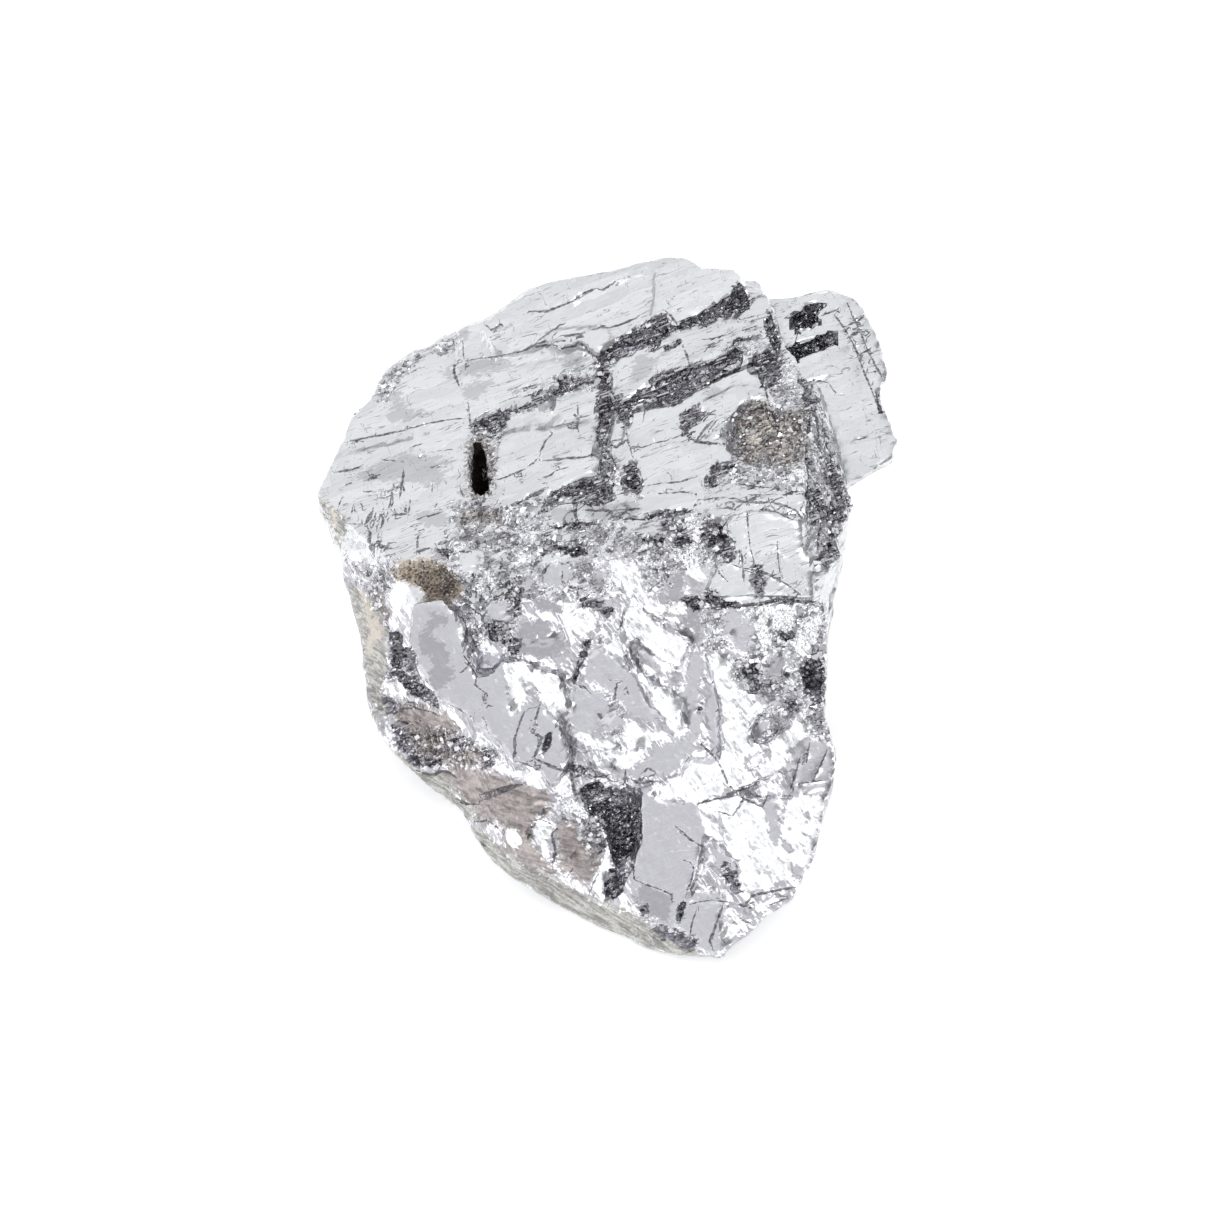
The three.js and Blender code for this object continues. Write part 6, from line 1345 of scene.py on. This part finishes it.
# depth in mm inside each kind of ground: outlines on the shown side, slow noise out of sight
def depthsOn(face, shown):
    uw, out = face[:, :2], face[:, 2]
    behind = out < sideCrystal["front"]
    side = (uw[:, 0] > sideCrystal["leftEdge"]) & behind & (uw[:, 1] > sideCrystal["bottomEdge"])
    main, onSide = shown & ~side, shown & side

    def depthAt(place, outlines):
        values = np.full(len(uw), -drawing["farAway"])
        values[place] = regionDepth(uw[place], outlines)
        return values

    depths = {name + "Depth": depthAt(main, outlines) for name, outlines in grounds.items()}
    # the slot's walls belong to it as well and take its painted shade: near its outline, and below its rim
    pit = depthAt((out > lump["slotBack"]) & ~side, pitOutlines)
    walls = (pit > -lump["slotReach"]) & (face @ upperOut < lump["slotRim"])
    depths["pitDepth"] = np.where(walls, np.maximum(pit, lump["slotInside"]), pit)
    depths["hiddenDepth"] = np.where(shown | walls, -1.0, 1.0)
    # steeper than they are, so that the painted shade of the smaller crystal's sunk places keeps crisp edges
    sideDark = sideCrystal["darkSteepness"] * depthAt(onSide, sideCrystalDark)
    depths["darkDepth"] = np.maximum(depths["darkDepth"], sideDark)
    cracks = np.tile([[-drawing["farAway"]], [0.0], [0.0]], len(uw))
    for place, strokes in ((main, crackStrokes), (onSide, sideCrystalCracks)):
        cracks[:, place] = strokeDepth(uw[place], strokes)
    depths["crackDepth"], depths["crackHalf"], depths["crackAside"] = cracks
    # smooth grey islands stay free of the bright feathers
    greyFrom, brightFrom = lump["islandEdge"]
    for name in ("flashDepth", "crushedDepth"):
        islands = (depths["greyDepth"] > greyFrom) & (depths[name] > brightFrom)
        depths[name] = np.where(islands, np.minimum(depths[name], -depths["greyDepth"]), depths[name])

    low, high, fade = lump["hiddenRim"]
    nearRim = fade * smoothStep(low, high, out)
    for name in ("torn", "crushed"):
        sizes, seed, least, steepness = lump["hidden" + name.capitalize()]
        hidden = (cloudNoise(face, sizes, seed) - least) * steepness - nearRim
        depths[name + "Depth"] = np.where(shown, depths[name + "Depth"], hidden)
    pitch, seed, most = lump["hiddenShade"]
    depths["shadeDepth"] = np.where(shown, depths["shadeDepth"], cellNoise(face, pitch, seed) * most)
    return depths


# voxels leave a staircase along the ridges: each point moves half way to the mean of its neighbours,
# then a little further back, twice; the flat underside stays on the table
def evenedOut(points, faces):
    flat = points[:, 2] < lump["flatBelow"] / 1000
    start, end = np.concatenate([faces[:, [0, 1]], faces[:, [1, 2]], faces[:, [2, 0]]]).T
    count = np.bincount(start, minlength=len(points))[:, None]
    for share in lump["evening"]:
        sums = [np.bincount(start, points[end, axis], len(points)) for axis in range(3)]
        points = points + share * (np.stack(sums, axis=1) / count - points)
    points[flat, 2] = 0
    points[:, 2] = np.maximum(points[:, 2], 0)
    return points


# the solid laid out as small even quads: voxels' corners, drawn back onto the solid's surface
def evenSolid():
    node = bpy.data.objects["galena_specimen"]
    work = bmesh.new()
    work.from_mesh(node.data)
    bmesh.ops.remove_doubles(work, verts=work.verts, dist=lump["weldReach"] / 1000)
    merged = bpy.data.meshes.new("mergedLump")
    work.to_mesh(merged)
    work.free()
    solid = bpy.data.objects.new("mergedLump", merged)
    even = bpy.data.objects.new("evenLump", merged)
    for item in (solid, even):
        bpy.context.collection.objects.link(item)
    remesh = even.modifiers.new("even", "REMESH")
    remesh.mode = "VOXEL"
    remesh.voxel_size = lump["evenPitch"] / 1000
    wrap = even.modifiers.new("wrap", "SHRINKWRAP")
    wrap.target = solid
    wrap.wrap_method = "NEAREST_SURFACEPOINT"
    shaped = even.evaluated_get(bpy.context.evaluated_depsgraph_get()).to_mesh()
    points = np.empty(len(shaped.vertices) * 3, np.float32)
    shaped.vertices.foreach_get("co", points)
    shaped.calc_loop_triangles()
    faces = np.empty(len(shaped.loop_triangles) * 3, np.int32)
    shaped.loop_triangles.foreach_get("vertices", faces)
    for item in (solid, even):
        bpy.data.objects.remove(item)
    bpy.data.meshes.remove(merged)
    return points.reshape(-1, 3).astype(float), faces.reshape(-1, 3)


# the longest edge in metres that a place may have: small where the ground there is busy. Before the
# mesh has normals, the shown side is what lies above its rim, which falls away up the lean.
def edgeLimit(middle):
    face = toFace(middle)
    rim, fall, start = lump["rimBefore"]
    shown = face[:, 2] > rim - fall * np.maximum(face[:, 1] - start, 0)
    depths = depthsOn(face, shown)
    busy = np.any([depths[name + "Depth"] > edge for name, edge in lump["busyFrom"].items()], axis=0)
    return np.where(busy & shown, lump["busyPitch"], lump["plainPitch"]) / 1000


# the same coordinates with each layer of laths shifted across, then each row along, by a random
# share of the size
def staggered(laths, size):
    along, across, out = laths.T
    acrossSeed, alongSeed = lump["staggerSeeds"]
    layer = np.floor(out / size[2])
    none = np.zeros_like(layer)
    across = across + size[1] * latticeValue(np.stack([none, none, layer], axis=1), acrossSeed)
    row = np.floor(across / size[1])
    along = along + size[0] * latticeValue(np.stack([none, row, layer], axis=1), alongSeed)
    return np.stack([along, across, out], axis=1)


# height in mm that the fine relief adds at each point, along the surface's own direction: steps of
# laths or feathers, blocks and a drop in torn and sunk places, crystals, grooves, and a slow wave
def fineRelief(face, depths):
    laths = turned(face, lathAlong)
    feathers = turned(face, featherAlong)

    def blocks(place, height, size, seed):
        return height * blockNoise(place, size, seed)

    def wave(height, size, seed):
        return height * cellNoise(face, size, seed)

    ragged = blocks(laths, *lump["ragged"])
    within = {name: smoothStep(low, high, depths[name + "Depth"] + share * ragged)
              for name, (low, high, share) in lump["reliefEdges"].items()}
    torn, dark, lower = within["torn"], within["dark"], within["lower"]
    steps = blocks(laths, *lump["lathSteps"]) * (1 - lower) + blocks(feathers, *lump["featherSteps"]) * lower
    sideLaths = staggered(laths, lump["sideSteps"][1])
    steps += blocks(sideLaths, *lump["sideSteps"]) * (depths["hiddenDepth"] > 0)
    rough = sum(blocks(laths, *kind) for kind in lump["tornBlocks"])
    height = steps * (1 - torn) * (1 - dark)
    height += torn * (lump["tornRelief"] * rough - lump["tornDrop"])
    bumps = blocks(feathers, *lump["crystalBlocks"]) + wave(*lump["crystalWave"])
    height += within["crushed"] * (1 - torn) * lump["crushedRelief"] * bumps
    height += dark * (lump["darkRelief"] * rough - lump["darkDrop"])
    height -= within["crack"] * lump["crackDrop"] * (1 - dark) * (1 - lump["cracksInTorn"] * torn)
    return height + wave(*lump["faceWave"])


# both pieces are grown together with the solid that they stand for
def finishPiece(piece):
    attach(piece, "root")
    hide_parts("galena_specimen")


# the lump's surface: laid out evenly, cut finer where the ground is busy, and each point moved along its
# normal by the height of the fine relief there
def makeLump(material):
    points, faces = evenSolid()
    points = evenedOut(points, faces)
    print("even lump", len(points), len(faces))
    points, faces = splitLongEdges(points, faces, lump["busyPitch"] / 1000, edgeLimit, lump["cutRounds"])
    normals = vertexNormals(points, faces)
    face = toFace(points)
    shown = (normals @ faceToRow)[:, 2] > lump["shownLean"]
    depths = depthsOn(face, shown)
    push = np.where(points[:, 2] < lump["smoothBelow"] / 1000, 0, fineRelief(face, depths))
    points = points + normals * push[:, None] / 1000
    print("lump surface", len(points), "vertices", len(faces), "triangles")
    finishPiece(addPiece("galenaLump", points, faces, material, depths, lump["smoothAngle"]))
    return points, faces, depths


# small crystals and splinters that stand in the broken ground
crystals = {
    "seed": 11,
    # greys of the boxes: painted shade at the dark end, painted highlight at the pale end
    "darkGrey": "4c4b50",
    "paleGrey": "f0f0f3",
    "paleOchre": "d0c2b0",
    "smoothAngle": 20.0,  # degrees, less than that of a box's edges
    "specksPerMetre": 4000.0,
    "grit": (0.0, 1.0, 0.75, 1.2),  # of the specks: from low, from high, to low, to high
    "ochreMetal": -0.95,
    "roughness": (0.25, 0.4),  # of a grey box, and how much more of an ochre one
    "outwards": (-0.1, -0.04, 1),  # roughly out of the face, in the face frame
    "upright": 0.4,  # how much a box stands up that way, next to straight off its own spot
    "thinner": (0.7, 1),  # least and most of what its sides keep of one random size
    "sunk": 0.15,  # share of a box's height that its middle lies below the surface
    "clusters": (2.0, 31, (-0.3, 0.3)),  # size in mm, seed, and the noise from and to which they thin out
    "tableGap": 0.1,  # mm, they stay this far above the table
    "tableReach": 1.0,  # mm, none stands on ground lower than this
    "groundEdge": (-0.1, 0.15),  # mm of depth from and to over which a kind of ground sets in
    "slotEdge": (-0.2, -0.6),  # mm, from its outline, over which the slot's surroundings fill up
    "rustLess": 0.8,  # share of the chips that rusty ground lacks
    # which kinds of ground each kind of box stands on, and how densely
    "standOn": {
        "chips": {"crushed": 1.0, "torn": 0.12},
        "slivers": {"torn": 1.0},
        "crumbs": {"torn": 1.0, "dark": 0.4},
        "ochre": {"limonite": 1.0, "rust": 0.1},
    },
    # kinds of box: how many, sides in mm from and to, tilt, tones from and to (from painted shade to painted
    # highlight), brown share
    "chips": (2700, (0.18, 0.16, 0.16), (0.7, 0.55, 0.5), 0.5, (0.3, 1.0), 0.0),
    "slivers": (1100, (0.5, 0.09, 0.12), (1.5, 0.18, 0.25), 0.05, (0.12, 0.62), 0.0),
    "crumbs": (1700, (0.16, 0.14, 0.14), (0.5, 0.34, 0.34), 0.4, (0.0, 0.4), 0.0),
    "ochre": (650, (0.1, 0.1, 0.1), (0.34, 0.26, 0.26), 0.9, (0.0, 0.8), 0.6),
}


# Galena again, as loose crystals: each box painted one tone, from painted shade to painted highlight, or
# brown with ochre
def crystalMaterial():
    material, tree = newMaterial("galenaCrystals")
    add = partial(addNode, tree)
    tone = add("Attribute", {"attribute_name": "tone"})["Fac"]
    brown = add("Attribute", {"attribute_name": "brown"})["Fac"]
    place = add("TexCoord")["Object"]
    inputs = {"Vector": place, "Scale": crystals["specksPerMetre"], "Detail": 3.0}
    speck = add("TexNoise", None, inputs)["Fac"]
    grit = add("MapRange", None, [speck, *crystals["grit"]])[0]
    dark, pale = linear(crystals["darkGrey"]), linear(crystals["paleGrey"])
    grey = add("Mix", tinted, {0: tone, 6: dark, 7: pale})[2]
    dark, pale = linear(galena["limoniteDark"]), linear(crystals["paleOchre"])
    ochre = add("Mix", tinted, {0: tone, 6: dark, 7: pale})[2]
    colour = add("Mix", tinted, {0: brown, 6: grey, 7: ochre})[2]
    colour = add("VectorMath", scaled, {0: colour, "Scale": grit})[0]
    metal = add("Math", timesPlus, [brown, crystals["ochreMetal"], 1.0])[0]
    greyRough, ochreMore = crystals["roughness"]
    rough = add("Math", timesPlus, [brown, ochreMore, greyRough])[0]
    shader = add("BsdfPrincipled", None, {"Base Color": colour, "Metallic": metal, "Roughness": rough})[0]
    add("OutputMaterial", None, [shader])
    return material


# how likely each kind of box stands on each triangle: the sum of its kinds of ground by density, times
# the shares of the triangle that the slot, the table, dark ground and the like leave over
def crystalWeights(points, faces, depths):
    depth = {name.removesuffix("Depth"): values[faces].mean(1) for name, values in depths.items()}
    within = {name: smoothStep(*crystals["groundEdge"], values) for name, values in depth.items()}
    lowest = points[faces][:, :, 2].min(1)
    clear = (lowest > crystals["tableReach"] / 1000) * smoothStep(*crystals["slotEdge"], depth["pit"])
    grey = clear * (1 - within["limonite"]) * (1 - within["rind"])
    pitch, seed, edge = crystals["clusters"]
    clusters = smoothStep(*edge, cellNoise(toFace(points[faces].mean(1)), pitch, seed))
    loose = grey * (1 - within["flash"]) * (1 - crystals["rustLess"] * within["rust"]) * clusters
    notDark = 1 - within["dark"]
    shares = {
        "chips": (loose, notDark),
        "slivers": (grey, 1 - within["lower"], notDark),
        "crumbs": (grey,),
        "ochre": (clear, notDark),
    }
    weights = {}
    for name, stand in crystals["standOn"].items():
        weights[name] = sum(density * within[kind] for kind, density in stand.items())
        for share in shares[name]:
            weights[name] = weights[name] * share
    return weights


# boxes on the surface: centres at random spots of triangles picked by area times weight, axes from
# the laths plus a random tilt, corners at half the sides either way, each box a little sunk in
def makeCrystals(points, faces, depths, material):
    draw = np.random.default_rng(crystals["seed"])
    cross = crossProducts(points, faces)
    area = np.linalg.norm(cross, axis=1)
    out = unit(cross)
    lathsAlong, outwards = np.array([lathAlong, crystals["outwards"]]) @ faceToRow.T
    corner = np.array([(i & 1, i >> 1 & 1, i >> 2 & 1) for i in range(8)]) - 0.5
    sides = np.array([(0, 2, 3, 1), (4, 5, 7, 6), (0, 1, 5, 4), (2, 6, 7, 3), (0, 4, 6, 2), (1, 3, 7, 5)])
    allPoints, tones, browns = [], [], []
    for name, weight in crystalWeights(points, faces, depths).items():
        count, least, most, tilt, toneRange, brown = crystals[name]
        weight = weight * area
        spot = draw.choice(len(faces), count, p=weight / weight.sum())
        share = draw.dirichlet((1, 1, 1), count)
        middle = (points[faces[spot]] * share[:, :, None]).sum(1)
        along = unit(lathsAlong + draw.normal(0, tilt, (count, 3)))
        up = outwards * crystals["upright"] + out[spot] + draw.normal(0, tilt, (count, 3))
        across = unit(np.cross(up, along))
        up = np.cross(along, across)
        grown = draw.random((count, 1)) ** 2 * draw.uniform(*crystals["thinner"], (count, 3))
        size = (np.array(least) + (np.array(most) - least) * grown) / 1000
        middle -= out[spot] * size[:, 2:] * crystals["sunk"]
        turn = np.stack([along, across, up], axis=1) * size[:, :, None]
        allPoints.append(middle[:, None] + corner @ turn)
        tones.append(np.repeat(draw.uniform(*toneRange, count), 8))
        browns.append(np.full(count * 8, brown))
    allPoints = np.concatenate(allPoints).reshape(-1, 3)
    allPoints[:, 2] = np.maximum(allPoints[:, 2], crystals["tableGap"] / 1000)
    boxes = len(allPoints) // 8
    quads = (np.arange(boxes)[:, None, None] * 8 + sides).reshape(-1, 4)
    shades = {"tone": np.concatenate(tones), "brown": np.concatenate(browns)}
    print("crystals", boxes, "boxes", len(quads) * 2, "triangles")
    finishPiece(addPiece("looseCrystals", allPoints, quads, material, shades, crystals["smoothAngle"]))


studio = {
    "floorColour": "fbfbfb",
    "floorGlow": 0.42,
    "floorRoughness": 0.9,
    "floorReach": 3.0,  # m
    "tentColour": (0.975, 0.985, 1.0, 1),
    "wallGlow": 1.08,
    "roofGlow": 1.14,
    "roofFrom": (0.2, 0.85),  # height of the direction, from the walls' glow to the roof's
    "darkSide": 0.35,  # share of the light left on the right
    "darkTowards": (0.9, -0.3, 0.3),
    "darkFrom": (0.45, 0.9),  # how much a direction has to point there, from and to
    "softboxTowards": (0.15, -0.55, 0.82),
    "softboxDistance": 1.1,  # m, from the target
    "softboxSide": 0.3,  # m
    "softboxGlow": 5.0,
    "softboxTarget": (0, 0, 0.02),
    "lensMm": 267.0,
    "sensorMm": 36.0,
    "clip": (0.05, 20.0),  # m
    "distance": 0.9,  # m, from the focus to the camera
    "focus": (0, 0, 8),  # mm in the face frame
}


# sets an object so that it looks at a target from a direction and a distance
def aim(item, target, direction, distance):
    towards = Vector(direction).normalized()
    item.location = Vector(target) + towards * distance
    item.rotation_euler = towards.to_track_quat("Z", "Y").to_euler()
    bpy.context.collection.objects.link(item)


# paper, matt and white, as a table sweep: it gives the soft pale ground
def makeFloor():
    material, tree = newMaterial("studioPaper")
    shader = addNode(tree, "BsdfPrincipled", None, {
        "Base Color": linear(studio["floorColour"]),
        "Roughness": studio["floorRoughness"],
        "Emission Color": (1, 1, 1, 1),
        "Emission Strength": studio["floorGlow"],
    })[0]
    addNode(tree, "OutputMaterial", None, [shader])
    corner = studio["floorReach"]
    mesh = bpy.data.meshes.new("floor")
    corners = [(-corner, -corner, 0), (corner, -corner, 0), (corner, corner, 0), (-corner, corner, 0)]
    mesh.from_pydata(corners, [], [(0, 1, 2, 3)])
    mesh.materials.append(material)
    floor = bpy.data.objects.new("floor", mesh)
    bpy.context.collection.objects.link(floor)


# a white tent: dimmer at the table, brighter overhead, and a dark side of the room to the right
def makeTent():
    world = bpy.data.worlds.new("studioWorld")
    bpy.context.scene.world = world
    world.use_nodes = True
    tree = world.node_tree
    add = partial(addNode, tree)
    background = tree.nodes["Background"]
    background.inputs["Color"].default_value = studio["tentColour"]
    direction = add("TexCoord")["Generated"]
    height = add("SeparateXYZ", None, [direction])[2]
    glow = add("MapRange", smooth, [height, *studio["roofFrom"], studio["wallGlow"], studio["roofGlow"]])[0]
    aside = add("VectorMath", {"operation": "DOT_PRODUCT"}, [direction, studio["darkTowards"]])[1]
    shadow = add("MapRange", smooth, [aside, *studio["darkFrom"], 1.0, studio["darkSide"]])[0]
    tree.links.new(add("Math", times, [glow, shadow])[0], background.inputs["Strength"])


# one soft light from the upper front
def makeSoftbox():
    light = bpy.data.lights.new("frontSoftbox", "AREA")
    light.shape = "RECTANGLE"
    light.size = light.size_y = studio["softboxSide"]
    light.energy = studio["softboxGlow"] * studio["softboxSide"] ** 2 * math.pi  # watts for that radiance
    lamp = bpy.data.objects.new("frontSoftbox", light)
    aim(lamp, studio["softboxTarget"], studio["softboxTowards"], studio["softboxDistance"])


def makeCamera():
    camera = bpy.data.cameras.new("camera")
    camera.lens = studio["lensMm"]
    camera.sensor_width = studio["sensorMm"]
    camera.clip_start, camera.clip_end = studio["clip"]
    eye = bpy.data.objects.new("camera", camera)
    aim(eye, toRow([studio["focus"]])[0], faceToRow[:, 2], studio["distance"])
    bpy.context.scene.camera = eye
    bpy.context.scene.view_settings.view_transform = "Standard"


makeFloor()
makeTent()
makeSoftbox()
makeCamera()
print("studio ready")
surface = makeLump(galenaMaterial())
print("lump ready")
makeCrystals(*surface, crystalMaterial())
print("crystals ready")
